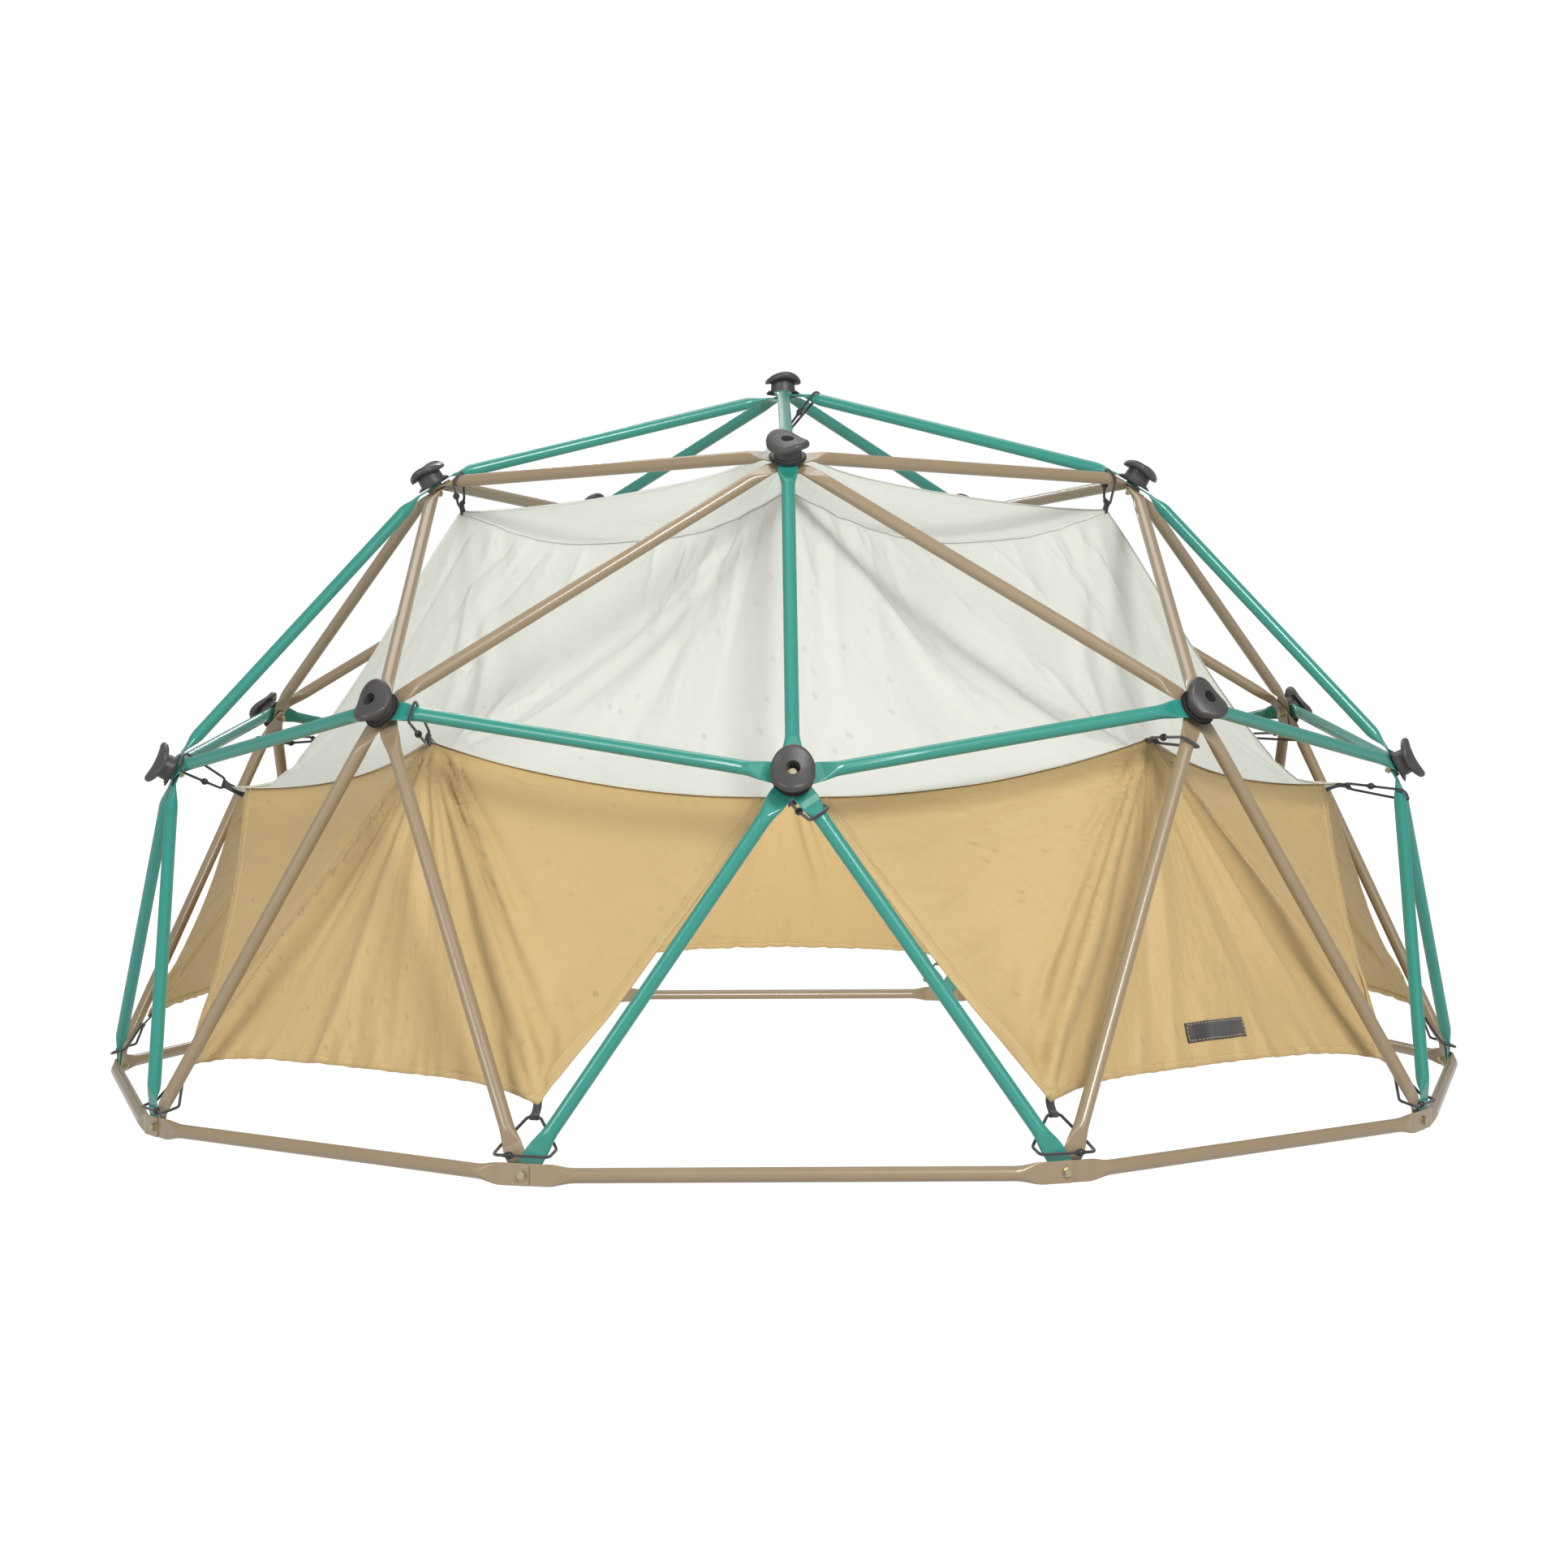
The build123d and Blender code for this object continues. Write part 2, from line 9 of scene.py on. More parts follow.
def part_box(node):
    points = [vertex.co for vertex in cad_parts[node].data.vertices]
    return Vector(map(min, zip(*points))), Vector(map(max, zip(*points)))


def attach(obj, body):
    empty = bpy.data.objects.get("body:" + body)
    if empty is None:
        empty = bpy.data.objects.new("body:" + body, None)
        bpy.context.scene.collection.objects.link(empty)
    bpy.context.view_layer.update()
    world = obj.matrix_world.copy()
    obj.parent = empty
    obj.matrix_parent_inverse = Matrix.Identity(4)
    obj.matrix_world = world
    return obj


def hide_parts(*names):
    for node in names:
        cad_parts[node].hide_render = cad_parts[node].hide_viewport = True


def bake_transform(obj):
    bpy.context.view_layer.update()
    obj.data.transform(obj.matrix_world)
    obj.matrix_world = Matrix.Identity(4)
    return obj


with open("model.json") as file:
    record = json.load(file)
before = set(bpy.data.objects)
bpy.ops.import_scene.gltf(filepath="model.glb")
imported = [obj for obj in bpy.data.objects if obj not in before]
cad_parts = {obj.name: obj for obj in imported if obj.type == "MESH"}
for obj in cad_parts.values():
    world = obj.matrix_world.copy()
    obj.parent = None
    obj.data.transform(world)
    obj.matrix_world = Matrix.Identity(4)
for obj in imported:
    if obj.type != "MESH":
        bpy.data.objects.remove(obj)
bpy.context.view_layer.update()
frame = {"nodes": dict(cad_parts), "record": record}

# A fabric shelter tied inside a bolted geodesic dome frame. The frame's tubes, caps and bolts are the CAD
# nodes with painted, moulded and plated finishes. The canopy, its webbing tabs and its elastic cords are
# built here and stand for the plain CAD solids. Lengths are metres.

SIDES = 5
TURN = 2 * math.pi / SIDES
FRONT = -math.pi / 2  # azimuth of the front, from +X
UPWARDS = np.array([0, 0, 1.0])
LEVEL = np.array([1, 1, 0])  # keeps the horizontal share of a vector
random_numbers = np.random.default_rng(7)

# ---------------------------------------------------------------- canopy sizes
COLUMNS = 96  # of the roof's grid between two spines
TOP_ROWS = 34
SIDE_ROWS = 46
WALL_ROWS = 52
DOORWAY_COLUMNS = 3  # columns at each end of a side that hang free over a doorway
FABRIC_THICKNESS = 0.0012
PEAK_CUSP = 0.28  # share of the peak's height that rises steeply at its middle
SPINE_HOLLOW = 0.050  # how far the spines curve inwards below the crown corners
MIDDLE_HOLLOW = 0.040
EDGE_DROOP = 2.3  # how sharply the roof's edge rises to its middle corners
EDGE_HOLLOW = 0.022
HEM_RISE = 0.036
DOOR_HOLLOW = 0.005
SMOOTHINGS = 6  # of a wall's grid before it is creased
ANY_PHASE = 6.3  # radians, about a full turn


# ---------------------------------------------------------------- where the CAD puts things
def points_of(node):
    """Every vertex of a node."""
    vertices = frame["nodes"][node].data.vertices
    return np.array([v.co for v in vertices], float)


def azimuth(half_steps):
    """The azimuth of a ring place, counted in tenths of a turn from the front."""
    return FRONT + half_steps * TURN / 2


def outermost(node, angle, score):
    """The vertex of a node at an azimuth that has the highest score."""
    points = points_of(node)
    turned = np.arctan2(points[:, 1], points[:, 0]) - angle
    off = np.abs((turned + math.pi) % (2 * math.pi) - math.pi)
    near = points[off < 0.02]
    return near[np.argmax(score(near))]


def axis_distance(points):
    return np.hypot(points[:, 0], points[:, 1])


peak = points_of("roof_top")[np.argmax(points_of("roof_top")[:, 2])] * np.array([0, 0, 1])
crown_corners = [outermost("roof_top", azimuth(2 * k), axis_distance) for k in range(SIDES)]
crown_dips = [outermost("roof_top", azimuth(2 * k + 1), axis_distance) for k in range(SIDES)]
side_corners = [outermost("roof_sides", azimuth(2 * k), axis_distance) for k in range(SIDES)]
middle_corners = [outermost("roof_sides", azimuth(2 * k + 1), axis_distance) for k in range(SIDES)]
hem_corners = []
for corner in range(2 * SIDES):
    hem_corners.append(outermost(f"wall_{corner // 2}", azimuth(corner + 0.5), axis_distance))


# ---------------------------------------------------------------- cloth shapes
def unit(vectors):
    return vectors / np.linalg.norm(vectors, axis=-1, keepdims=True)


def following(corners, k):
    return corners[(k + 1) % SIDES]


def along_spine(across):
    """0 at the middle of a side, 1 at its two spines."""
    return abs(2 * across - 1)


def crown_seam(k, across):
    """The drooping seam round the five-sided peak."""
    start, end = crown_corners[k], following(crown_corners, k)
    straight = start + (end - start) * across
    droop = 1 - along_spine(across) ** 2
    return straight + (crown_dips[k] - (start + end) / 2) * droop


def roof_edge(k, across):
    """The roof's lower edge, which droops between its corners."""
    middle = middle_corners[k]
    side = side_corners[k] if across <= 0.5 else following(side_corners, k)
    share = 1 - along_spine(across)
    point = side + (middle - side) * share
    point[2] = side[2] + (middle[2] - side[2]) * share**EDGE_DROOP
    outwards = point * LEVEL
    return point - unit(outwards) * EDGE_HOLLOW * math.sin(math.pi * share)


def hem(k, across):
    """A wall's hem, raised between its corners."""
    start, end = hem_corners[2 * k], hem_corners[2 * k + 1]
    point = start + (end - start) * across
    point[2] += HEM_RISE * (1 - along_spine(across) ** 5)
    return point


def peak_profile(share):
    """Height share at a share of the way in from the crown seam to the peak."""
    return (1 - PEAK_CUSP) * share**1.35 + PEAK_CUSP * share**14


def top_point(k, across, down):
    """A point of the peak, from its middle down to the crown seam."""
    seam = crown_seam(k, across)
    point = peak + (seam - peak) * down
    point[2] = seam[2] + (peak[2] - seam[2]) * peak_profile(1 - down)
    return point


def side_point(k, across, down):
    """A point of the roof's side, hollow between the crown seam and the lower edge."""
    start, end = crown_seam(k, across), roof_edge(k, across)
    run = end - start
    inwards = -unit(np.array([start[0], start[1], 0])) * -run[2] / np.linalg.norm(run)
    inwards[2] = -np.hypot(run[0], run[1]) / np.linalg.norm(run)
    near_spine = along_spine(across) ** 3
    near_middle = (1 - along_spine(across)) ** 3
    depth = SPINE_HOLLOW * near_spine + MIDDLE_HOLLOW * near_middle + 0.016
    shape = down**1.4 * (1 - down) ** 0.35 / 0.417
    return start + run * down + inwards * depth * shape


def wall_point(k, across, down):
    """A point of a wall. It folds along the lines from the middle corner to the two hem corners."""
    mirrored = across > 0.5
    half = 1 - across if mirrored else across
    hem_corner = hem_corners[2 * k + 1] if mirrored else hem_corners[2 * k]
    top = roof_edge(k, across)
    fold = hem_corner + (middle_corners[k] - hem_corner) * 2 * half
    bottom = hem(k, across)
    upper, lower = np.linalg.norm(fold - top), np.linalg.norm(bottom - fold)
    length = down * (upper + lower)
    if length < upper:
        point = top + (fold - top) * length / upper
    else:
        point = fold + (bottom - fold) * (length - upper) / max(lower, 1e-6)
    towards_middle = unit(middle_corners[k] * LEVEL)
    side = unit(np.cross(UPWARDS, towards_middle)) * (1 if mirrored else -1)
    edge = (1 - min(half / 0.2, 1)) ** 2
    return point - side * DOOR_HOLLOW * edge * math.sin(math.pi * down)


# ---------------------------------------------------------------- creases
def grid_normals(grid):
    """Outward unit normals of a grid of points (rows down, columns across)."""
    down = np.gradient(grid, axis=0)
    across = np.gradient(grid, axis=1)
    return unit(np.cross(down, across) + 1e-12)


def outward_normals(grid, outwards):
    """The grid's normals, on the side that faces outwards."""
    normals = grid_normals(grid)
    middle = normals[len(grid) // 2, grid.shape[1] // 2]
    return normals if middle @ outwards > 0 else -normals


def crease(grid, normals, start, end, height, width, reach=1.0):
    """Raises (or sinks) a fold that leaves start towards end and fades out."""
    run = end - start
    length = np.linalg.norm(run)
    rel = grid - start
    share = rel @ run / length**2
    aside = rel - share[..., None] * run
    aside = aside - normals * (aside * normals).sum(axis=-1, keepdims=True)
    off = np.linalg.norm(aside, axis=-1)
    wide = width * (0.25 + 0.75 * np.clip(share * 3, 0, 1))
    profile = np.exp(-np.sqrt((off / wide) ** 2 + 0.05))
    fade = np.clip(share / 0.06, 0, 1) * np.clip((reach - share) / (0.55 * reach), 0, 1) ** 1.2
    return grid + normals * (height * profile * fade)[..., None]


def between(a, b, share):
    return a + (b - a) * share


def fold(grid, normals, start, end, height, width, lean=3.0, reach=1.0):
    """Raises a sharp fold, steep on one side and sloping on the other, that fades out towards end."""
    run = end - start
    rel = grid - start
    share = rel @ run / (run @ run)
    side = unit(np.cross(normals, run))
    off = (rel * side).sum(axis=-1)
    wide = np.where(off > 0, width, width * lean) * (0.3 + 0.7 * np.clip(share * 3, 0, 1))
    profile = np.exp(-np.abs(off) / wide)
    fade = np.clip(share / 0.05, 0, 1) * np.clip((reach - share) / (0.5 * reach), 0, 1)
    return grid + normals * (height * profile * fade)[..., None]


def finer(grid):
    """The grid with a point added between each two, on a smooth curve through its neighbours."""
    for _ in range(2):
        before = np.concatenate([grid[:1], grid[:-2]])
        after = np.concatenate([grid[2:], grid[-1:]])
        middles = (grid[:-1] + grid[1:]) * 0.5625 - (before + after) * 0.0625
        result = np.empty((2 * len(grid) - 1, *grid.shape[1:]))
        result[::2] = grid
        result[1::2] = middles
        grid = result.swapaxes(0, 1)
    return grid


def ripple(grid, normals, height, scale, seed):
    """Slow unevenness of slack cloth."""
    waves = np.random.default_rng(seed)
    total = np.zeros(grid.shape[:2])
    for _ in range(7):
        heading = unit(waves.normal(size=3))
        length = scale * waves.uniform(0.6, 1.6)
        total += np.sin(grid @ heading * 2 * math.pi / length + waves.uniform(0, ANY_PHASE))
    return grid + normals * (height * total / 7)[..., None]


def wall_sides(k):
    """The side corner and the hem corner at each side of a wall."""
    return (side_corners[k], hem_corners[2 * k]), (following(side_corners, k), hem_corners[2 * k + 1])


def roof_ends(k):
    """The crown corner and the side corner at each end of a roof side."""
    return (crown_corners[k], side_corners[k]), (following(crown_corners, k), following(side_corners, k))


def roof_creases(grid, normals, k):
    """Folds that fan from the crown corners and the middle corner."""
    low = middle_corners[k]
    for top, edge in roof_ends(k):
        for n in range(5):
            target = between(low, edge, 0.17 * n - 0.1 + random_numbers.uniform(-0.03, 0.03))
            start = between(top, crown_dips[k], 0.10 * n)
            height = random_numbers.uniform(0.010, 0.016) * (-1) ** n
            width = random_numbers.uniform(0.024, 0.038)
            grid = crease(grid, normals, start, target, height, width, random_numbers.uniform(0.75, 1.0))
        for n in range(5):
            start = between(top, crown_dips[k], 0.10 + 0.17 * n)
            target = between(low, edge, random_numbers.uniform(0.0, 0.6))
            height = random_numbers.uniform(0.006, 0.011)
            grid = crease(grid, normals, start, target, height, 0.018, random_numbers.uniform(0.4, 0.65))
        for n in range(3):
            target = between(top, crown_dips[k], 0.15 + 0.3 * n)
            height = random_numbers.uniform(0.006, 0.010) * (-1) ** n
            grid = crease(grid, normals, low, target, height, 0.026, 0.6)
        for n in range(2):
            target = between(top, low, 0.12 + 0.2 * n)
            height = random_numbers.uniform(0.006, 0.010) * (-1) ** n
            grid = crease(grid, normals, edge, target, height, 0.018, 0.6)
    return grid


def wall_creases(grid, normals, k):
    """Folds that fan from the middle corner down to the hem corners and the doorway edges."""
    low = middle_corners[k]
    for edge, corner in wall_sides(k):
        hem_middle = (hem_corners[2 * k] + hem_corners[2 * k + 1]) / 2
        for n in range(5):
            target = between(corner, edge, 0.06 * n + random_numbers.uniform(-0.015, 0.015))
            start = between(low, edge, 0.02 * n)
            height = (0.024, -0.020, 0.017, -0.013, 0.010)[n] * random_numbers.uniform(0.8, 1.2)
            width = random_numbers.uniform(0.016, 0.028)
            grid = crease(grid, normals, start, target, height, width, (1.1, 0.9, 1.0, 0.7, 0.8)[n])
        for n in range(4):
            target = between(corner, hem_middle, 0.12 + 0.22 * n + random_numbers.uniform(-0.05, 0.05))
            height = random_numbers.uniform(0.007, 0.014) * (-1) ** (n + 1)
            grid = crease(grid, normals, low, target, height, 0.028, random_numbers.uniform(0.6, 0.95))
        for n in range(4):
            target = between(edge, low, 0.2 + 0.3 * n + random_numbers.uniform(-0.1, 0.1))
            height = random_numbers.uniform(0.007, 0.013) * (-1) ** n
            grid = crease(grid, normals, corner, target, height, 0.022, random_numbers.uniform(0.35, 0.6))
        for n in range(5):
            foot = between(corner, hem_middle, 0.1 + 0.2 * n + random_numbers.uniform(-0.06, 0.06))
            tip = between(foot, low, random_numbers.uniform(0.15, 0.3))
            height = random_numbers.uniform(0.004, 0.008)
            grid = crease(grid, normals, foot, tip, height, 0.015, 1.0)
    return grid


def sharp_wall_folds(grid, normals, k):
    """Sharp folds drawn from the middle corner to the hem corners, and short ones by the doorways."""
    chance = np.random.default_rng(80 + k)
    low = middle_corners[k]
    for edge, corner in wall_sides(k):
        hem_middle = (hem_corners[2 * k] + hem_corners[2 * k + 1]) / 2
        for n in range(3):
            start = between(low, edge, 0.012 + 0.022 * n)
            target = between(corner, edge, 0.016 + 0.05 * n)
            height = (0.010, -0.008, 0.009)[n] * chance.uniform(0.85, 1.15)
            lean = chance.uniform(2.0, 3.2)
            grid = fold(grid, normals, start, target, height, 0.0075, lean, (1.3, 1.2, 0.95)[n])
        for n in range(3):
            start = between(corner, edge, 0.03 + 0.04 * n)
            target = between(low, edge, 0.03 + 0.05 * n)
            height = (0.008, -0.006, 0.006)[n] * chance.uniform(0.8, 1.2)
            grid = fold(grid, normals, start, target, height, 0.0065, 2.5, (0.8, 0.6, 0.5)[n])
        for n in range(6):
            target = between(corner, hem_middle, 0.05 + 0.11 * n + chance.uniform(-0.04, 0.04))
            height = chance.uniform(0.005, 0.009) * (-1) ** n
            grid = fold(grid, normals, low, target, height, 0.0075, 2.5, chance.uniform(0.5, 0.95))
        for n in range(7):
            start = between(edge, corner, 0.10 + 0.11 * n + chance.uniform(-0.04, 0.04))
            target = between(low, hem_middle, chance.uniform(-0.2, 0.5))
            height = chance.uniform(0.004, 0.008)
            grid = fold(grid, normals, start, target, height, 0.007, 2.0, chance.uniform(0.15, 0.35))
        for n in range(14):
            foot = between(corner, hem_middle, 0.05 + 0.068 * n + chance.uniform(-0.02, 0.02))
            tip = between(foot, low, chance.uniform(0.05, 0.17))
            height = chance.uniform(0.0015, 0.0035) * (-1) ** n
            grid = fold(grid, normals, foot, tip, height, 0.006, 1.6)
    return grid


def sharp_roof_folds(grid, normals, k):
    """Sharp folds under the seam near the crown corners, fanning down to the lower edge."""
    chance = np.random.default_rng(90 + k)
    low = middle_corners[k]
    for top, edge in roof_ends(k):
        for n in range(6):
            start = between(top, crown_dips[k], 0.03 + 0.11 * n + chance.uniform(-0.02, 0.02))
            target = between(edge, low, chance.uniform(0.05, 0.5) + 0.08 * n)
            height = chance.uniform(0.003, 0.006) * (-1) ** n
            grid = fold(grid, normals, start, target, height, 0.009, 2.2, chance.uniform(0.3, 0.75))
        for n in range(3):
            target = between(top, crown_dips[k], 0.1 + 0.35 * n + chance.uniform(-0.05, 0.05))
            height = chance.uniform(0.004, 0.007) * (-1) ** n
            grid = fold(grid, normals, low, target, height, 0.009, 2.2, chance.uniform(0.35, 0.6))
        for n in range(2):
            target = between(low, top, 0.25 + 0.3 * n)
            grid = fold(grid, normals, edge, target, 0.005 * (-1) ** n, 0.008, 2.2, 0.45)
    return grid


# ---------------------------------------------------------------- the canopy's grids
def roof_side_grid(k):
    """One fifth of the roof, from the peak down to the lower edge."""
    shares = np.linspace(0, 1, COLUMNS + 1)
    top = [[top_point(k, a, d) for a in shares] for d in np.linspace(0, 1, TOP_ROWS + 1)[1:]]
    side = [[side_point(k, a, d) for a in shares] for d in np.linspace(0, 1, SIDE_ROWS + 1)[1:]]
    grid = np.array(top + side)
    normals = outward_normals(grid, UPWARDS)
    moved = roof_creases(grid, normals, k)
    moved = ripple(moved, normals, 0.010, 0.32, 40 + k)
    share = np.minimum(shares, 1 - shares) / 0.08
    hold = np.clip(share, 0, 1)[None, :, None]
    rows = np.arange(grid.shape[0])
    fixed = np.clip((grid.shape[0] - 1 - rows) / 4, 0, 1) * np.clip(rows / 5, 0, 1)
    return grid + (moved - grid) * hold * fixed[:, None, None]


def wall_grid(k):
    """One wall, from the roof's edge down to its hem."""
    # the hem's shares run over the whole hem while the top leaves the doorways free
    shares = np.linspace(0, 1, COLUMNS + 1)[DOORWAY_COLUMNS:COLUMNS + 1 - DOORWAY_COLUMNS]
    spread = (shares - shares[0]) / (1 - 2 * shares[0])
    grid = []
    for down in np.linspace(0, 1, WALL_ROWS + 1):
        grid.append([wall_point(k, across, down) for across in between(shares, spread, down)])
    grid = np.array(grid)
    for _ in range(SMOOTHINGS):
        inner = (grid[:-2, 1:-1] + grid[2:, 1:-1] + grid[1:-1, :-2] + grid[1:-1, 2:]) / 4
        grid[1:-1, 1:-1] += (inner - grid[1:-1, 1:-1]) * 0.5
    normals = outward_normals(grid, middle_corners[k] * LEVEL)
    moved = wall_creases(grid, normals, k)
    moved = ripple(moved, normals, 0.012, 0.35, 60 + k)
    rows = np.arange(grid.shape[0])
    hold = np.clip(rows / 3, 0, 1)
    return grid + (moved - grid) * hold[:, None, None]


def grid_mesh(name, grids, closed_top=None):
    """A mesh from point grids that share points along touching edges."""
    points, faces, index = [], [], {}

    def number(point):
        key = tuple(np.round(point, 5))
        if key not in index:
            index[key] = len(points)
            points.append(point)
        return index[key]

    for grid in grids:
        numbers = [[number(p) for p in row] for row in grid]
        for upper, lower in zip(numbers, numbers[1:]):
            for n in range(len(upper) - 1):
                faces.append((upper[n], lower[n], lower[n + 1], upper[n + 1]))
    if closed_top is not None:
        top = number(closed_top)
        for grid in grids:
            row = [number(p) for p in grid[0]]
            for start, end in zip(row, row[1:]):
                if start != end:
                    faces.append((top, start, end))
    mesh = bpy.data.meshes.new(name)
    mesh.from_pydata([tuple(p) for p in points], [], faces)
    mesh.update()
    return mesh


def add_object(name, mesh, material=None, smooth=True):
    item = bpy.data.objects.new(name, mesh)
    bpy.context.scene.collection.objects.link(item)
    if material:
        mesh.materials.append(material)
    if smooth:
        mesh.polygons.foreach_set("use_smooth", [True] * len(mesh.polygons))
    return item


def add_piece(name, mesh, material, body=None):
    """An object in a material slot, which rides a body when one is given."""
    item = add_object(name, mesh, material)
    if body:
        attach(item, body)
    return item


def thicken(item, thickness):
    """Gives a sheet its thickness and applies it."""
    change = item.modifiers.new("thickness", "SOLIDIFY")
    change.thickness = thickness
    change.offset = 0
    apply_modifiers(item)


def apply_modifiers(item):
    graph = bpy.context.evaluated_depsgraph_get()
    mesh = bpy.data.meshes.new_from_object(item.evaluated_get(graph), depsgraph=graph)
    item.modifiers.clear()
    item.data = mesh


# ---------------------------------------------------------------- materials
class Finish:
    """A node material under construction, with short helpers."""

    def __init__(self, name, colour, roughness):
        self.material = bpy.data.materials.new(name)
        self.material.use_nodes = True
        self.tree = self.material.node_tree
        self.shader = self.tree.nodes["Principled BSDF"]
        self.shader.inputs["Roughness"].default_value = roughness
        self.colour = colour
        self.shader.inputs["Base Color"].default_value = (*colour, 1)

    def node(self, kind, **values):
        node = self.tree.nodes.new(kind)
        for name, value in values.items():
            if name in node.inputs:
                node.inputs[name].default_value = value
            else:
                setattr(node, name, value)
        return node

    def link(self, start, end):
        self.tree.links.new(start, end)

    def set(self, name, value):
        self.shader.inputs[name].default_value = value

    def place(self, kind="Object", scale=(1, 1, 1)):
        coordinates = self.node("ShaderNodeTexCoord")
        mapping = self.node("ShaderNodeMapping")
        mapping.inputs["Scale"].default_value = scale
        self.link(coordinates.outputs[kind], mapping.inputs["Vector"])
        return mapping.outputs["Vector"]

    def noise(self, scale, detail=3.0, place=None):
        node = self.node("ShaderNodeTexNoise", Scale=scale, Detail=detail)
        self.link(place or self.place(), node.inputs["Vector"])
        return node.outputs["Fac"]

    def wave(self, scale, direction, place):
        node = self.node("ShaderNodeTexWave", bands_direction=direction, wave_profile="SIN")
        node.inputs["Scale"].default_value = scale
        self.link(place, node.inputs["Vector"])
        return node.outputs["Fac"]

    def math(self, operation, first, second):
        node = self.node("ShaderNodeMath", operation=operation)
        for socket, value in zip(node.inputs, (first, second)):
            if isinstance(value, (int, float)):
                socket.default_value = value
            else:
                self.link(value, socket)
        return node.outputs[0]

    def spread(self, value, low, high, start=0.0, end=1.0, curve="LINEAR"):
        """Maps a value's range from start to end on to low to high."""
        node = self.node("ShaderNodeMapRange", interpolation_type=curve)
        for name, limit in (("From Min", start), ("From Max", end), ("To Min", low), ("To Max", high)):
            node.inputs[name].default_value = limit
        self.link(value, node.inputs["Value"])
        return node.outputs[0]

    def mix(self, factor, first, second):
        node = self.node("ShaderNodeMix", data_type="RGBA")
        sockets = [s for s in node.inputs if s.type == "RGBA"]
        for socket, value in zip(sockets, (first, second)):
            if isinstance(value, tuple):
                socket.default_value = (*value, 1)
            else:
                self.link(value, socket)
        if isinstance(factor, (int, float)):
            node.inputs["Factor"].default_value = factor
        else:
            self.link(factor, node.inputs["Factor"])
        return [s for s in node.outputs if s.type == "RGBA"][0]

    def paint(self, colour):
        self.link(colour, self.shader.inputs["Base Color"])

    def rough(self, value):
        self.link(value, self.shader.inputs["Roughness"])

    def bump(self, height, distance, strength=1.0):
        node = self.node("ShaderNodeBump", Strength=strength, Distance=distance)
        self.link(height, node.inputs["Height"])
        self.link(node.outputs["Normal"], self.shader.inputs["Normal"])

    def blend_shaders(self, share, second):
        """Mixes a share of a second shader into the surface."""
        both = self.node("ShaderNodeMixShader")
        if isinstance(share, float):
            both.inputs[0].default_value = share
        else:
            self.link(share, both.inputs[0])
        self.link(self.shader.outputs[0], both.inputs[1])
        self.link(second.outputs[0], both.inputs[2])
        self.link(both.outputs[0], self.tree.nodes["Material Output"].inputs["Surface"])


def shade(colour, share):
    return tuple(value * share for value in colour)


def powder_coat(name, colour):
    """Glossy powder coat with orange peel, faint dust and worn pressed edges."""
    finish = Finish(name, colour, 0.3)
    finish.set("Coat Weight", 0.5)
    finish.set("Coat Roughness", 0.06)
    uneven = finish.spread(finish.noise(9), 0.0, 1.0)
    body = finish.mix(uneven, shade(colour, 0.93), shade(colour, 1.05))
    geometry = finish.node("ShaderNodeNewGeometry")
    edge = finish.spread(geometry.outputs["Pointiness"], 0.0, 1.0, 0.57, 0.66)
    worn = finish.math("MULTIPLY", edge, finish.spread(finish.noise(60), 0.0, 0.18))
    finish.paint(finish.mix(worn, body, tuple(0.5 + 0.5 * value for value in colour)))
    finish.rough(finish.spread(finish.noise(35, 5), 0.34, 0.48))
    finish.bump(finish.noise(420, 2), 0.00012, 0.12)
    return finish.material


def moulded_plastic(name, colour, roughness, grain):
    """Satin plastic with a fine moulded grain."""
    finish = Finish(name, colour, roughness)
    finish.paint(finish.mix(finish.noise(60), shade(colour, 0.85), shade(colour, 1.15)))
    finish.rough(finish.spread(finish.noise(220, 4), roughness - 0.08, roughness + 0.1))
    finish.bump(finish.noise(grain, 2), 0.0002, 0.6)
    return finish.material


def zinc(name):
    """Bright zinc plate with a warm tint, fine scratches and dull patches."""
    finish = Finish(name, (0.55, 0.49, 0.34), 0.32)
    finish.set("Metallic", 1.0)
    scratches = finish.noise(400, 6, finish.place(scale=(1, 1, 9)))
    finish.rough(finish.spread(scratches, 0.2, 0.48))
    finish.paint(finish.mix(finish.noise(120), (0.60, 0.53, 0.36), (0.40, 0.35, 0.22)))
    finish.bump(scratches, 0.0001, 0.3)
    return finish.material


def fan_of_folds(finish, place):
    """Fine folds that spread from the cloth's top middle, as a height."""
    split = finish.node("ShaderNodeSeparateXYZ")
    finish.link(place, split.inputs[0])
    angle = finish.math("ARCTAN2", split.outputs[0], split.outputs[1])
    radius = finish.node("ShaderNodeVectorMath", operation="LENGTH")
    finish.link(place, radius.inputs[0])
    polar = finish.node("ShaderNodeCombineXYZ")
    finish.link(finish.math("MULTIPLY", angle, 7.0), polar.inputs[0])
    finish.link(finish.math("MULTIPLY", radius.outputs["Value"], 1.6), polar.inputs[1])
    return finish.noise(1.0, 5, polar.outputs[0])


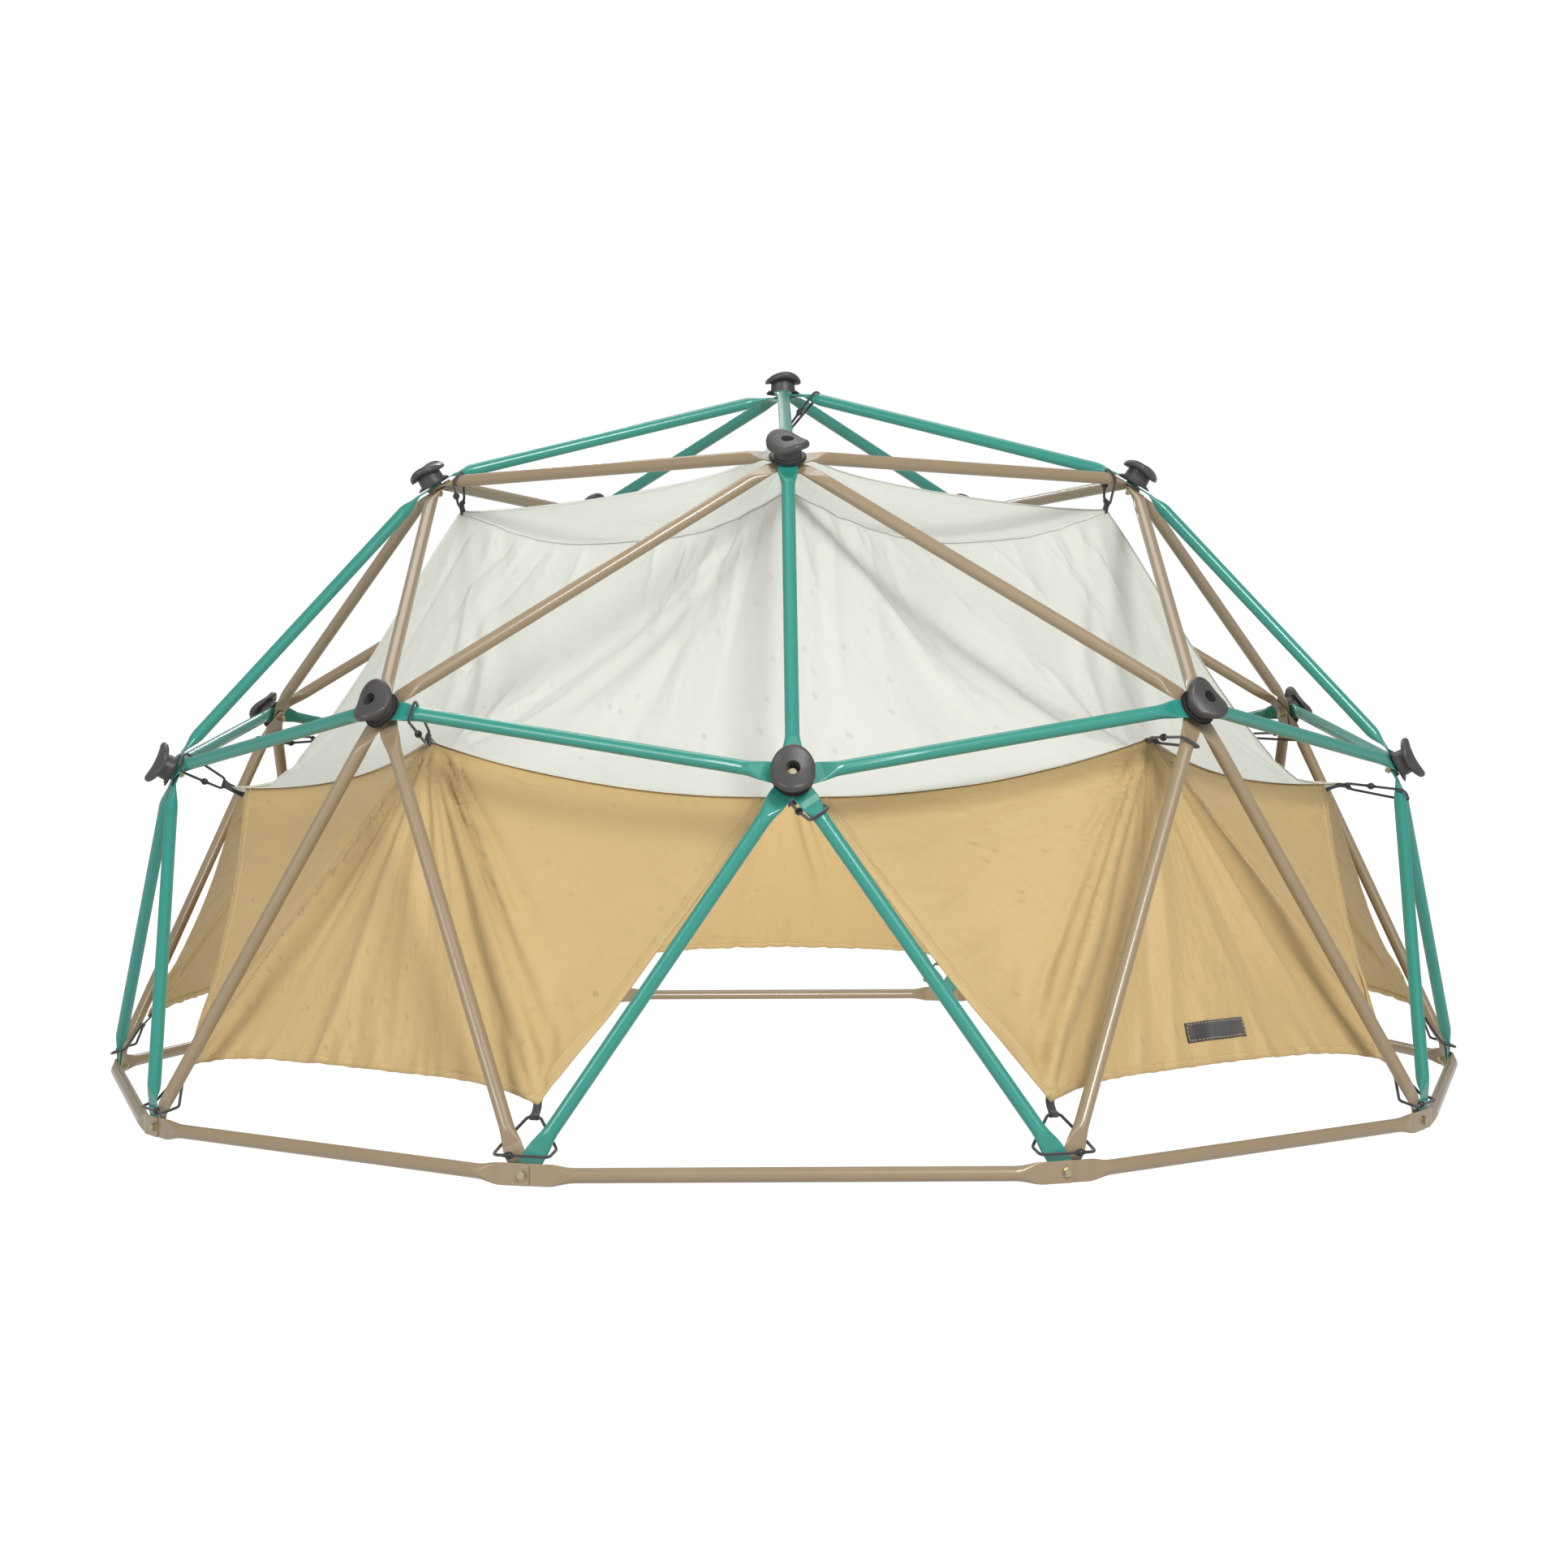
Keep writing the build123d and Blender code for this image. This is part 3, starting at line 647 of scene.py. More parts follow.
def woven_cloth(name, colour, see_through, satin=False, weave=1400.0):
    """Thin woven polyester: crossing yarns, slow colour change, soft sheen and some light through it."""
    finish = Finish(name, colour, 0.72)
    finish.set("Sheen Weight", 0.15)
    finish.set("Specular IOR Level", 0.45 if satin else 0.25)
    place = finish.place("UV")
    warp = finish.wave(weave, "X", place)
    weft = finish.wave(weave, "Y", place)
    yarns = finish.math("MAXIMUM", warp, weft)
    slow = finish.noise(2.2, 3, place)
    streak = finish.noise(1.0, 4, finish.place("UV", (3, 160, 1)))
    tone = finish.mix(finish.math("MULTIPLY", slow, streak), shade(colour, 0.97), shade(colour, 1.04))
    toned = finish.mix(finish.spread(yarns, 0.0, 0.12), tone, shade(colour, 0.7))
    finish.paint(toned)
    finish.rough(finish.spread(slow, 0.40, 0.52) if satin else finish.spread(slow, 0.62, 0.8))
    crumple = finish.noise(16, 4, place)
    if satin:
        crumple = finish.math("ADD", crumple, finish.math("MULTIPLY", fan_of_folds(finish, place), 7.0))
    fine = finish.math("MULTIPLY", yarns, 0.04)
    finish.bump(finish.math("ADD", fine, crumple), 0.0022, 0.55)
    glow = finish.node("ShaderNodeBsdfTranslucent")
    finish.link(toned, glow.inputs["Color"])
    finish.blend_shaders(see_through, glow)
    return finish.material


def webbing(name, colour):
    """Ribbed woven strap."""
    finish = Finish(name, colour, 0.7)
    finish.set("Sheen Weight", 0.3)
    place = finish.place("UV")
    ribs = finish.wave(420, "Y", place)
    threads = finish.wave(900, "X", place)
    weave = finish.math("MULTIPLY", ribs, threads)
    finish.paint(finish.mix(weave, shade(colour, 0.6), shade(colour, 1.7)))
    finish.bump(weave, 0.0006, 0.8)
    return finish.material


def braided_cord(name, colour):
    """Round elastic cord with a diagonal braid."""
    finish = Finish(name, colour, 0.6)
    finish.set("Sheen Weight", 0.35)
    place = finish.place("UV")
    braid = finish.wave(260, "DIAGONAL", place)
    finish.paint(finish.mix(braid, shade(colour, 0.55), shade(colour, 1.8)))
    finish.bump(braid, 0.0005, 0.8)
    return finish.material


def thread(name, colour):
    finish = Finish(name, colour, 0.6)
    finish.paint(finish.mix(finish.noise(300), shade(colour, 0.85), shade(colour, 1.1)))
    finish.bump(finish.noise(1500), 0.0002, 0.5)
    return finish.material


GREEN = (0.016, 0.235, 0.185)
TAUPE = (0.275, 0.205, 0.120)
BLACK = (0.018, 0.018, 0.019)
DARK_GREY = (0.052, 0.049, 0.047)
ROOF_CLOTH = (0.755, 0.765, 0.695)
WALL_CLOTH = (0.63, 0.455, 0.200)
BINDING = (0.80, 0.74, 0.60)

materials = {
    "green_tube": powder_coat("green_powder_coat", GREEN),
    "taupe_tube": powder_coat("taupe_powder_coat", TAUPE),
    "grip_plastic": moulded_plastic("grip_cap_plastic", DARK_GREY, 0.42, 1300),
    "black_pad": moulded_plastic("black_pad_rubber", BLACK, 0.6, 900),
    "zinc_hardware": zinc("zinc_plate"),
    "toggle_plastic": moulded_plastic("toggle_ball_plastic", BLACK, 0.28, 1500),
    "roof_fabric": woven_cloth("roof_cloth", ROOF_CLOTH, 0.22),
    "wall_fabric": woven_cloth("wall_cloth", WALL_CLOTH, 0.20, satin=True),
    "elastic_cord": braided_cord("elastic_cord", BLACK),
    "webbing": webbing("black_webbing", BLACK),
    "patch_fabric": webbing("patch_weave", (0.026, 0.024, 0.024)),
}
wall_thread = thread("wall_thread", shade(WALL_CLOTH, 1.35))
roof_thread = thread("roof_thread", shade(ROOF_CLOTH, 0.95))
binding_cloth = woven_cloth("binding_cloth", BINDING, 0.1)
# The roof's seam strips are the roof cloth darkened by 6%: painted shade for the faint shadow line along each
# seam.
shaded_roof_seam_cloth = woven_cloth("seam_cloth_painted_shade", shade(ROOF_CLOTH, 0.94), 0.1)


# ---------------------------------------------------------------- CAD nodes keep their shape
SOFT_SLOTS = ("roof_fabric", "wall_fabric", "patch_fabric", "elastic_cord", "webbing")


def finish_cad_nodes():
    """Gives each hard node the material of its slot."""
    for part in frame["record"]["subparts"]:
        if part["material_slot"] in SOFT_SLOTS:
            continue
        item = frame["nodes"][part["node"]]
        item.data.materials.clear()
        item.data.materials.append(materials[part["material_slot"]])


# ---------------------------------------------------------------- strands and straps
STRAND_SIDES = 12
STRAP_SECTION = ((-1, -0.5), (-0.9, -1), (0.9, -1), (1, -0.5), (1, 0.5), (0.9, 1), (-0.9, 1), (-1, 0.5))


def smooth_path(points, rounds=2):
    """Cuts the corners of a path again and again."""
    for _ in range(rounds):
        cut = [points[0]]
        for start, end in zip(points, points[1:]):
            cut += [between(start, end, 0.25), between(start, end, 0.75)]
        points = cut + [points[-1]]
    return points


def lengths_along(path):
    """How far along the path each of its points lies."""
    return np.concatenate([[0], np.cumsum(np.linalg.norm(np.diff(path, axis=0), axis=1))])


def resampled(line, lengths, places):
    """A line of vectors at new places along its length."""
    return np.array([[np.interp(place, lengths, line[:, axis]) for axis in range(3)] for place in places])


def swept_mesh(name, rings, uvs):
    """A closed skin over rings of points, with a UV for every point."""
    count = len(rings[0])
    faces = []
    for ring in range(len(rings) - 1):
        for n in range(count):
            a, b = ring * count + n, ring * count + (n + 1) % count
            faces.append((a, b, b + count, a + count))
    last = (len(rings) - 1) * count
    faces.append(tuple(range(count))[::-1])
    faces.append(tuple(range(last, last + count)))
    mesh = bpy.data.meshes.new(name)
    mesh.from_pydata([tuple(point) for ring in rings for point in ring], [], faces)
    layer = mesh.uv_layers.new(name="metres")
    for loop in mesh.loops:
        layer.data[loop.index].uv = uvs[loop.vertex_index]
    mesh.update()
    return mesh


def tube_mesh(name, path, radius):
    """A round strand along a path, with UV in metres round it and along it."""
    path = np.array(path)
    tangents = unit(np.gradient(path, axis=0))
    turns = [2 * math.pi * n / STRAND_SIDES for n in range(STRAND_SIDES)]
    side = np.cross(tangents[0], (0.31, 0.2, 0.93))
    rings, uvs = [], []
    for point, tangent, length in zip(path, tangents, lengths_along(path)):
        side = unit(side - tangent * (side @ tangent))
        lift = np.cross(side, tangent)
        rings.append([point + (side * math.cos(turn) + lift * math.sin(turn)) * radius for turn in turns])
        uvs += [(turn * radius, length) for turn in turns]
    return swept_mesh(name, rings, uvs)


def strip_mesh(name, path, facing, width, thickness):
    """A flat strap along a path: facing gives its broad side's normal at each point."""
    path, facing = np.array(path), np.array(facing)
    tangents = unit(np.gradient(path, axis=0))
    across = unit(np.cross(tangents, facing))
    outwards = np.cross(across, tangents)
    rings, uvs = [], []
    for point, aside, out, length in zip(path, across, outwards, lengths_along(path)):
        rings.append([point + aside * x * width / 2 + out * y * thickness / 2 for x, y in STRAP_SECTION])
        uvs += [(x * width / 2, length) for x, _ in STRAP_SECTION]
    return swept_mesh(name, rings, uvs)


def stitch_mesh(name, lines, stitch, gap, radius):
    """Rows of short raised stitches along lines of points."""
    points, faces = [], []
    for line in lines:
        line = np.array(line)
        lengths = lengths_along(line)
        for place in np.arange(gap, lengths[-1] - stitch, stitch + gap):
            start, end = resampled(line, lengths, (place, place + stitch))
            tangent = unit(end - start)
            side = unit(np.cross(tangent, (0.3, 0.2, 0.9)))
            lift = np.cross(side, tangent)
            first = len(points)
            for share, size in ((0, 0.4), (0.25, 1), (0.75, 1), (1, 0.4)):
                middle = between(start, end, share)
                points += [middle + arm * radius * size for arm in (side, lift, -side, -lift)]
            for ring in range(3):
                for n in range(4):
                    a, b = first + ring * 4 + n, first + ring * 4 + (n + 1) % 4
                    faces.append((a, b, b + 4, a + 4))
            faces.append((first + 3, first + 2, first + 1, first))
            faces.append((first + 12, first + 13, first + 14, first + 15))
    mesh = bpy.data.meshes.new(name)
    mesh.from_pydata([tuple(p) for p in points], [], faces)
    mesh.update()
    return mesh


# ---------------------------------------------------------------- the canopy's pieces
SEAM_WIDTH = 0.008
SEAM_THICKNESS = 0.0008
SEAM_LIFT = 0.0012  # from the middle of the cloth to the middle of the seam
BINDING_LIFT = 0.0016
BINDING_WIDTH = 0.012
HEM_WIDTH = 0.014
HEM_THICKNESS = 0.0046
HEM_RINGS = 330
DOOR_EDGE_WIDTH = 0.022
DOOR_EDGE_THICKNESS = 0.0034
DOOR_STITCH_ROW = 0.0075  # from the middle of the door's edge
STITCH = (0.0045, 0.0030, 0.00045)  # length, gap, radius
PULL = 0.02  # how strongly the cloth is held to its drawn shape away from its corners
PIN_REACH = 0.022
SETTLE_FRAMES = 14


def uv_from_grids(item, grids):
    """UV in metres: across each grid's columns and down its rows."""
    table = {}
    for grid in grids:
        across = np.linalg.norm(np.diff(grid, axis=1), axis=2)
        down = np.linalg.norm(np.diff(grid, axis=0), axis=2)
        u = np.concatenate([np.zeros((len(grid), 1)), np.cumsum(across, axis=1)], axis=1)
        u -= u[:, -1:] / 2
        v = np.concatenate([np.zeros((1, grid.shape[1])), np.cumsum(down, axis=0)], axis=0)
        for point, x, y in zip(grid.reshape(-1, 3), u.ravel(), v.ravel()):
            table.setdefault(tuple(np.round(point, 5)), (x, y))
    layer = item.data.uv_layers.new(name="metres")
    vertices = item.data.vertices
    for loop in item.data.loops:
        key = tuple(np.round(np.array(vertices[loop.vertex_index].co, float), 5))
        layer.data[loop.index].uv = table.get(key, (0, 0))


def settle(sheet, pins, frames):
    """Lets the cloth hang from its pinned corners under its own weight, then keeps the result."""
    group = sheet.vertex_groups.new(name="held")
    for vertex in sheet.data.vertices:
        distance = min(np.linalg.norm(np.array(vertex.co) - pin) for pin in pins)
        weight = 1.0 if distance < PIN_REACH else PULL
        group.add([vertex.index], weight, "REPLACE")
    change = sheet.modifiers.new("settle", "CLOTH")
    cloth = change.settings
    cloth.quality = 4
    cloth.mass = 0.02
    cloth.tension_stiffness = 30
    cloth.compression_stiffness = 12
    cloth.shear_stiffness = 8
    cloth.bending_stiffness = 0.4
    cloth.air_damping = 2.0
    cloth.vertex_group_mass = "held"
    cloth.pin_stiffness = 1.0
    cloth.effector_weights.gravity = 0.35
    change.collision_settings.use_collision = False
    scene = bpy.context.scene
    change.point_cache.frame_start = 1
    change.point_cache.frame_end = frames
    for number in range(1, frames + 1):
        scene.frame_set(number)
    apply_modifiers(sheet)
    scene.frame_set(1)


def canopy_grids():
    """The roof's and the walls' grids, joined where they touch."""
    roof = [roof_side_grid(k) for k in range(SIDES)]
    for k in range(SIDES):
        following(roof, k)[:, 0] = roof[k][:, -1]
    walls = []
    for k in range(SIDES):
        wall = wall_grid(k)
        wall[0] = roof[k][-1, DOORWAY_COLUMNS:COLUMNS + 1 - DOORWAY_COLUMNS]
        walls.append(wall)
    return roof, walls


def settle_grids(roof, walls):
    """Runs the cloth over the whole canopy and gives the moved grids back."""
    mesh = grid_mesh("canopy_at_rest", roof + walls, peak)
    sheet = add_object("canopy_at_rest", mesh)
    before = [np.array(v.co) for v in sheet.data.vertices]
    pins = [peak] + crown_corners + side_corners + middle_corners + hem_corners
    settle(sheet, pins, SETTLE_FRAMES)
    after = [np.array(v.co) for v in sheet.data.vertices]
    moved = {tuple(np.round(p, 5)): q for p, q in zip(before, after)}
    bpy.data.objects.remove(sheet)

    def follow(grid):
        flat = [moved[tuple(np.round(np.array(Vector(p)), 5))] for p in grid.reshape(-1, 3)]
        return np.array(flat).reshape(grid.shape)

    return [follow(grid) for grid in roof], [follow(grid) for grid in walls]


def fold_grids(roof, walls):
    """Makes the settled grids finer and adds the sharp folds, which leave seams and rims alone."""
    roof_lines, wall_sheets = [], []
    for k, grid in enumerate(roof):
        grid = finer(grid)
        moved = sharp_roof_folds(grid, outward_normals(grid, UPWARDS), k)
        columns = np.arange(grid.shape[1])
        rows = np.arange(grid.shape[0])
        seam_row = 2 * TOP_ROWS - 1
        side_hold = np.clip(np.minimum(columns, columns[::-1]) / (0.08 * len(columns)), 0, 1)
        low_hold = np.clip(rows[::-1] / 8, 0, 1)
        seam_hold = np.clip((rows - seam_row) / 6, 0, 1)
        roof_lines.append(grid + (moved - grid) * (low_hold * seam_hold)[:, None, None] * side_hold[:, None])
    for k in range(SIDES):
        following(roof_lines, k)[:, 0] = roof_lines[k][:, -1]
    for k, grid in enumerate(walls):
        grid = finer(grid)
        moved = sharp_wall_folds(grid, outward_normals(grid, middle_corners[k] * LEVEL), k)
        hold = np.clip(np.arange(len(grid)) / 5, 0, 1)
        columns = np.arange(grid.shape[1])
        side_hold = np.clip(np.minimum(columns, columns[::-1]) / 9, 0, 1)
        grid = grid + (moved - grid) * (hold[:, None] * side_hold)[..., None]
        first = 2 * DOORWAY_COLUMNS
        grid[0] = roof_lines[k][-1, first:2 * COLUMNS + 1 - first]
        wall_sheets.append(grid)
    return roof_lines, wall_sheets


def follow_wall(item):
    """Bakes the piece's placement into its mesh."""
    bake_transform(item)


def build_roof(roof):
    mesh = grid_mesh("canopy_roof", roof, peak)
    item = add_object("canopy_roof", mesh, materials["roof_fabric"])
    uv_from_grids(item, roof)
    thicken(item, FABRIC_THICKNESS)
    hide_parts("roof_top", "roof_sides")
    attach(item, "frame")
    for k, grid in enumerate(roof):
        normals = outward_normals(grid, UPWARDS)
        seam_row = 2 * TOP_ROWS - 2
        seam = grid[seam_row] + normals[seam_row] * SEAM_LIFT
        add_seam(f"crown_seam_{k}", seam, normals[seam_row], SEAM_WIDTH, shaded_roof_seam_cloth)
        spine = grid[:, 0] + normals[:, 1] * SEAM_LIFT
        add_seam(f"spine_seam_{k}", spine, normals[:, 1], SEAM_WIDTH, shaded_roof_seam_cloth)
        edge = grid[-1] + normals[-1] * BINDING_LIFT
        add_seam(f"roof_edge_binding_{k}", edge, normals[-1], BINDING_WIDTH, binding_cloth)


def add_seam(name, line, normals, width, material):
    """A folded seam lying on the cloth, with two rows of stitches."""
    strip = strip_mesh(name, line, normals, width, SEAM_THICKNESS)
    add_piece(name, strip, material, "frame")
    across = unit(np.cross(unit(np.gradient(line, axis=0)), normals))
    rows = [line + across * width * side * 0.3 + normals * 0.0009 for side in (-1, 1)]
    add_piece(f"{name}_stitches", stitch_mesh(name, rows, *STITCH), roof_thread, "frame")


def build_wall(k, grid):
    mesh = grid_mesh(f"canopy_wall_{k}", [grid])
    item = add_object(f"canopy_wall_{k}", mesh, materials["wall_fabric"])
    uv_from_grids(item, [grid])
    thicken(item, FABRIC_THICKNESS)
    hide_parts(f"wall_{k}", "wall_heads")
    follow_wall(item)
    normals = outward_normals(grid, middle_corners[k] * LEVEL)
    build_hem(k, grid, normals)
    for side, column, inner in (("left", 0, 1), ("right", -1, -2)):
        build_door_edge(f"door_edge_{k}_{side}", grid[:, column], grid[:, inner], normals[:, column])


def build_hem(k, grid, normals):
    """The folded hem, lightly puckered by its stitching."""
    flap = f"wall_flap_{k}"
    line = grid[-1]
    lengths = lengths_along(line)
    places = np.linspace(0, lengths[-1], HEM_RINGS)
    path = resampled(line, lengths, places)
    uphill = unit(resampled(grid[-4], lengths, places) - path)
    out = unit(resampled(normals[-2], lengths, places))
    turns = places * 2 * math.pi
    pucker = (np.sin(turns / 0.031) * 0.0003 + np.sin(turns / 0.047 + k) * 0.0003)[:, None]
    path = path + uphill * (HEM_WIDTH * 0.42 + pucker) + out * pucker
    roll = strip_mesh(f"hem_fold_{k}", path, out, HEM_WIDTH, HEM_THICKNESS)
    add_piece(f"hem_fold_{k}", roll, materials["wall_fabric"], flap)
    row = path + out * (HEM_THICKNESS * 0.55) + uphill * HEM_WIDTH * 0.34
    add_piece(f"hem_stitches_{k}", stitch_mesh("hem", [row], *STITCH), wall_thread, flap)


def build_door_edge(name, line, inner, normals):
    """The doorway's folded edge: a second layer with two rows of stitches."""
    inwards = unit(inner - line)
    path = line + inwards * DOOR_EDGE_WIDTH / 2
    strip = strip_mesh(name, path, normals, DOOR_EDGE_WIDTH, DOOR_EDGE_THICKNESS)
    follow_wall(add_piece(name, strip, materials["wall_fabric"]))
    rows = [path + inwards * offset + normals * 0.0019 for offset in (-DOOR_STITCH_ROW, DOOR_STITCH_ROW)]
    stitches = stitch_mesh(name, rows, *STITCH)
    follow_wall(add_piece(f"{name}_stitches", stitches, wall_thread))


# ---------------------------------------------------------------- the ties
STRAP_WIDTH = 0.015
STRAP_THICKNESS = 0.0013
STRAP_ON_CLOTH = 0.022  # sewn length on the canopy
STRAP_BEHIND_CLOTH = 0.004
CORD_RADIUS = 0.0027
TOGGLE_HALF_LENGTH = 0.0085
EYE_RADIUS = 0.0039  # inside of the webbing's fold, where the cord runs
EYE_WALL = 0.0010  # from the inside of the fold to the end of the strap
FRONT_CORD_DEPTH = 0.012  # how far back the cord at a hem loop's front reaches before its strands start
CORD_SPACING = 0.003
UPPER_LOOP_BEND = 0.013
HEM_LOOP_BEND = 0.010
MIRROR = np.array([1, -1, 1])


def islands(node):
    """The node's separate solids, as arrays of points."""
    mesh = frame["nodes"][node].data
    points = points_of(node)
    keys, labels = {}, list(range(len(points)))

    def root(n):
        while labels[n] != n:
            labels[n] = labels[labels[n]]
            n = labels[n]
        return n

    for n, point in enumerate(points):
        key = tuple(np.round(point, 6))
        labels[root(n)] = root(keys.setdefault(key, n))
    for edge in mesh.edges:
        labels[root(edge.vertices[0])] = root(edge.vertices[1])
    groups = {}
    for n in range(len(points)):
        groups.setdefault(root(n), []).append(points[n])
    return [np.array(group) for group in groups.values()]


def middle_of(points):
    return (points.min(axis=0) + points.max(axis=0)) / 2


def nearest(groups, place):
    return min(groups, key=lambda group: np.linalg.norm(group.mean(axis=0) - place))


def tie_axes(corner, strap, toggle):
    """X from the corner along the strap, Y towards the toggle, Z out of the loop's plane."""
    x_axis = unit(strap.mean(axis=0) - corner)
    to_toggle = toggle - corner
    y_axis = unit(to_toggle - x_axis * (to_toggle @ x_axis))
    return np.array([x_axis, y_axis, np.cross(x_axis, y_axis)])


def build_strap(name, corner, axes, eye, body, sheet_direction, inwards):
    """Folded webbing: sewn behind the cloth, out to the eye, round it and back."""
    x_axis, y_axis, z_axis = axes
    if z_axis @ inwards < 0:
        z_axis = -z_axis
    lift = z_axis * STRAP_THICKNESS * 0.6
    bend_radius = EYE_RADIUS + STRAP_THICKNESS / 2

    def on_cloth(share, depth):
        behind = inwards * STRAP_BEHIND_CLOTH * share**0.5 * depth
        return corner + sheet_direction * STRAP_ON_CLOTH * share + behind

    path = [on_cloth(share, 1) for share in (1, 0.7, 0.4)]
    path += [corner + x_axis * reach + lift for reach in (0.004, eye - 0.006)]
    for turn in np.radians(np.linspace(140, -140, 15)):
        path.append(corner + x_axis * eye + (x_axis * math.cos(turn) + z_axis * math.sin(turn)) * bend_radius)
    path += [corner + x_axis * reach - lift for reach in (eye - 0.006, 0.004)]
    path += [on_cloth(share, 0.4) for share in (0.3, 0.5)]
    path = np.array(smooth_path(path))
    facing = unit(np.cross(y_axis, unit(np.gradient(path, axis=0))))
    mesh = strip_mesh(name, path, facing, STRAP_WIDTH, STRAP_THICKNESS)
    return add_piece(name, mesh, materials["webbing"], body)


def loop_path(axes, corner, corners, toggle_index, toggle_middle, gap):
    """Points of a loop from one side of its toggle round to the other."""
    count = len(corners)
    places = [corner + np.array(c) @ axes for c in corners]
    start, end = places[toggle_index], places[(toggle_index + 1) % count]
    along = unit(end - start)
    points = [toggle_middle + along * gap]
    points += [places[(toggle_index + 1 + n) % count] for n in range(count)]
    points.append(toggle_middle - along * gap)
    return points


def rounded(points, radius, steps=6):
    """A path with its corners rounded to arcs."""
    path = [points[0]]
    for before, corner, after in zip(points, points[1:], points[2:]):
        into, out = unit(corner - before), unit(after - corner)
        room = min(np.linalg.norm(corner - before), np.linalg.norm(after - corner)) * 0.48
        angle = math.acos(np.clip(into @ out, -1, 1))
        cut = min(room, radius * math.tan(angle / 2))
        first, last = corner - into * cut, corner + out * cut
        for n in range(steps + 1):
            share = n / steps
            curve = between(between(first, corner, share), between(corner, last, share), share)
            path.append(curve)
    path.append(points[-1])
    return path


def spaced(path, spacing):
    """The path again, with points no further apart than the spacing."""
    result = [np.array(path[0])]
    for start, end in zip(path, path[1:]):
        length = np.linalg.norm(end - start)
        pieces = max(1, int(length / spacing))
        if length > 1e-7:
            result += [between(start, end, (n + 1) / pieces) for n in range(pieces)]
    return result


def loop_corners(axes, corner, cord):
    """The cord solid's extent in the tie's axes."""
    local = (cord - corner) @ axes.T
    far = local[:, 0].max() - CORD_RADIUS
    near = local[:, 0].min() + CORD_RADIUS
    at_far = local[local[:, 0] > far - 0.02]
    at_near = local[local[:, 0] < near + 0.006]
    return far, np.abs(at_far[:, 1]).max() - CORD_RADIUS, near, np.abs(at_near[:, 1]).max() - CORD_RADIUS


def upper_tie_places():
    """The canopy's corner of each tie above the hem, by the tie's name."""
    places = {"apex": peak}
    for k in range(SIDES):
        places[f"crown_{k}"] = crown_corners[k]
        places[f"corner_{k}"] = side_corners[k]
        places[f"middle_{k}"] = middle_corners[k]
    return places


def build_upper_ties():
    cords, straps = islands("roof_cords"), islands("roof_tabs")
    for name, corner in upper_tie_places().items():
        strap, cord = nearest(straps, corner), nearest(cords, corner)
        low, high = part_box(f"toggle_{name}")
        toggle = np.array((low + high) / 2)
        axes = tie_axes(corner, strap, toggle)
        eye = ((strap - corner) @ axes[0]).max() - EYE_RADIUS - EYE_WALL
        # the strap is sewn down the cloth, on the side that faces the middle of the shelter
        inwards = unit(corner * UPWARDS * 0.55 - corner)
        sheet = unit(inwards - UPWARDS * 0.35) if name != "apex" else -axes[0]
        under = unit(UPWARDS * 0.4 - corner)
        strap_item = build_strap(f"strap_{name}", corner, axes, eye, "frame", sheet, under)
        far, wide, near, narrow = loop_corners(axes, corner, cord)
        corners = [(far, wide, 0), (far, -wide, 0), (near, -narrow, 0), (near, narrow, 0)]
        points = loop_path(axes, corner, corners, 3, toggle, TOGGLE_HALF_LENGTH)
        item = add_cord(f"cord_{name}", spaced(rounded(points, UPPER_LOOP_BEND), CORD_SPACING))
        if name == "apex":
            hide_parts("roof_cords")
            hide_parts("roof_tabs")
        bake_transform(item)


def add_cord(name, path):
    return add_piece(name, tube_mesh(name, path, CORD_RADIUS), materials["elastic_cord"])


def knee_of(axes, corner, cord, wide):
    """Where each strand turns outwards behind the legs, in the tie's axes."""
    local = (cord - corner) @ axes.T
    low, high = local[:, 2].min(), local[:, 2].max()
    depth = low + CORD_RADIUS if abs(low) > high else high - CORD_RADIUS
    at_depth = local[np.abs(local[:, 2] - depth) < 0.004]
    return np.array([at_depth[:, 0].mean(), wide + 0.001, depth])


def build_hem_ties():
    """Each hem loop is three cords: two strands up to the webbing, and one to each side of its toggle."""
    cords = islands("hem_cords")
    for number, corner in enumerate(hem_corners):
        k = number // 2
        flap = f"wall_flap_{k}"
        strap = nearest(islands(f"hem_tabs_{k}"), corner)
        cord = nearest(cords, corner)
        low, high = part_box(f"toggle_base_{number}")
        toggle = np.array((low + high) / 2)
        axes = tie_axes(corner, strap, toggle)
        eye = ((strap - corner) @ axes[0]).max() - EYE_RADIUS - EYE_WALL
        up_wall = unit(middle_corners[k] - corner)
        under = unit(-middle_corners[k] * LEVEL)
        strap_item = build_strap(f"strap_base_{number}", corner, axes, eye, flap, up_wall, under)
        far, wide, near, narrow = loop_corners(axes, corner, cord)
        knee = knee_of(axes, corner, cord, wide)
        left = [(far, -wide, 0), knee * MIRROR, (near, -narrow, 0)]
        corners = left + [(near, narrow, 0), knee, (far, wide, 0)]
        points = loop_path(axes, corner, corners, 5, toggle, TOGGLE_HALF_LENGTH)
        path = spaced(rounded(points, HEM_LOOP_BEND), CORD_SPACING)
        behind = [n for n, point in enumerate(path) if (point - corner) @ axes[0] < far - FRONT_CORD_DEPTH]
        first, last = behind[0], behind[-1]
        strands = add_cord(f"cord_base_{number}", path[first:last + 1])
        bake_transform(strands)
        for side, part, turn in (("left", path[:first + 1], corners[0]), ("right", path[last:], corners[-1])):
            item = add_cord(f"cord_base_{number}_{side}", part)
            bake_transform(item)
        if number == 0:
            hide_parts("hem_cords")
        if number % 2 == 0:
            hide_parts(f"hem_tabs_{k}")


LABEL_SIZE = (0.140, 0.036)
LABEL_COLUMNS = 37
LABEL_ROWS = 11
LABEL_LIFT = 0.0016  # from the middle of the cloth to the middle of the label
LABEL_THICKNESS = 0.0012


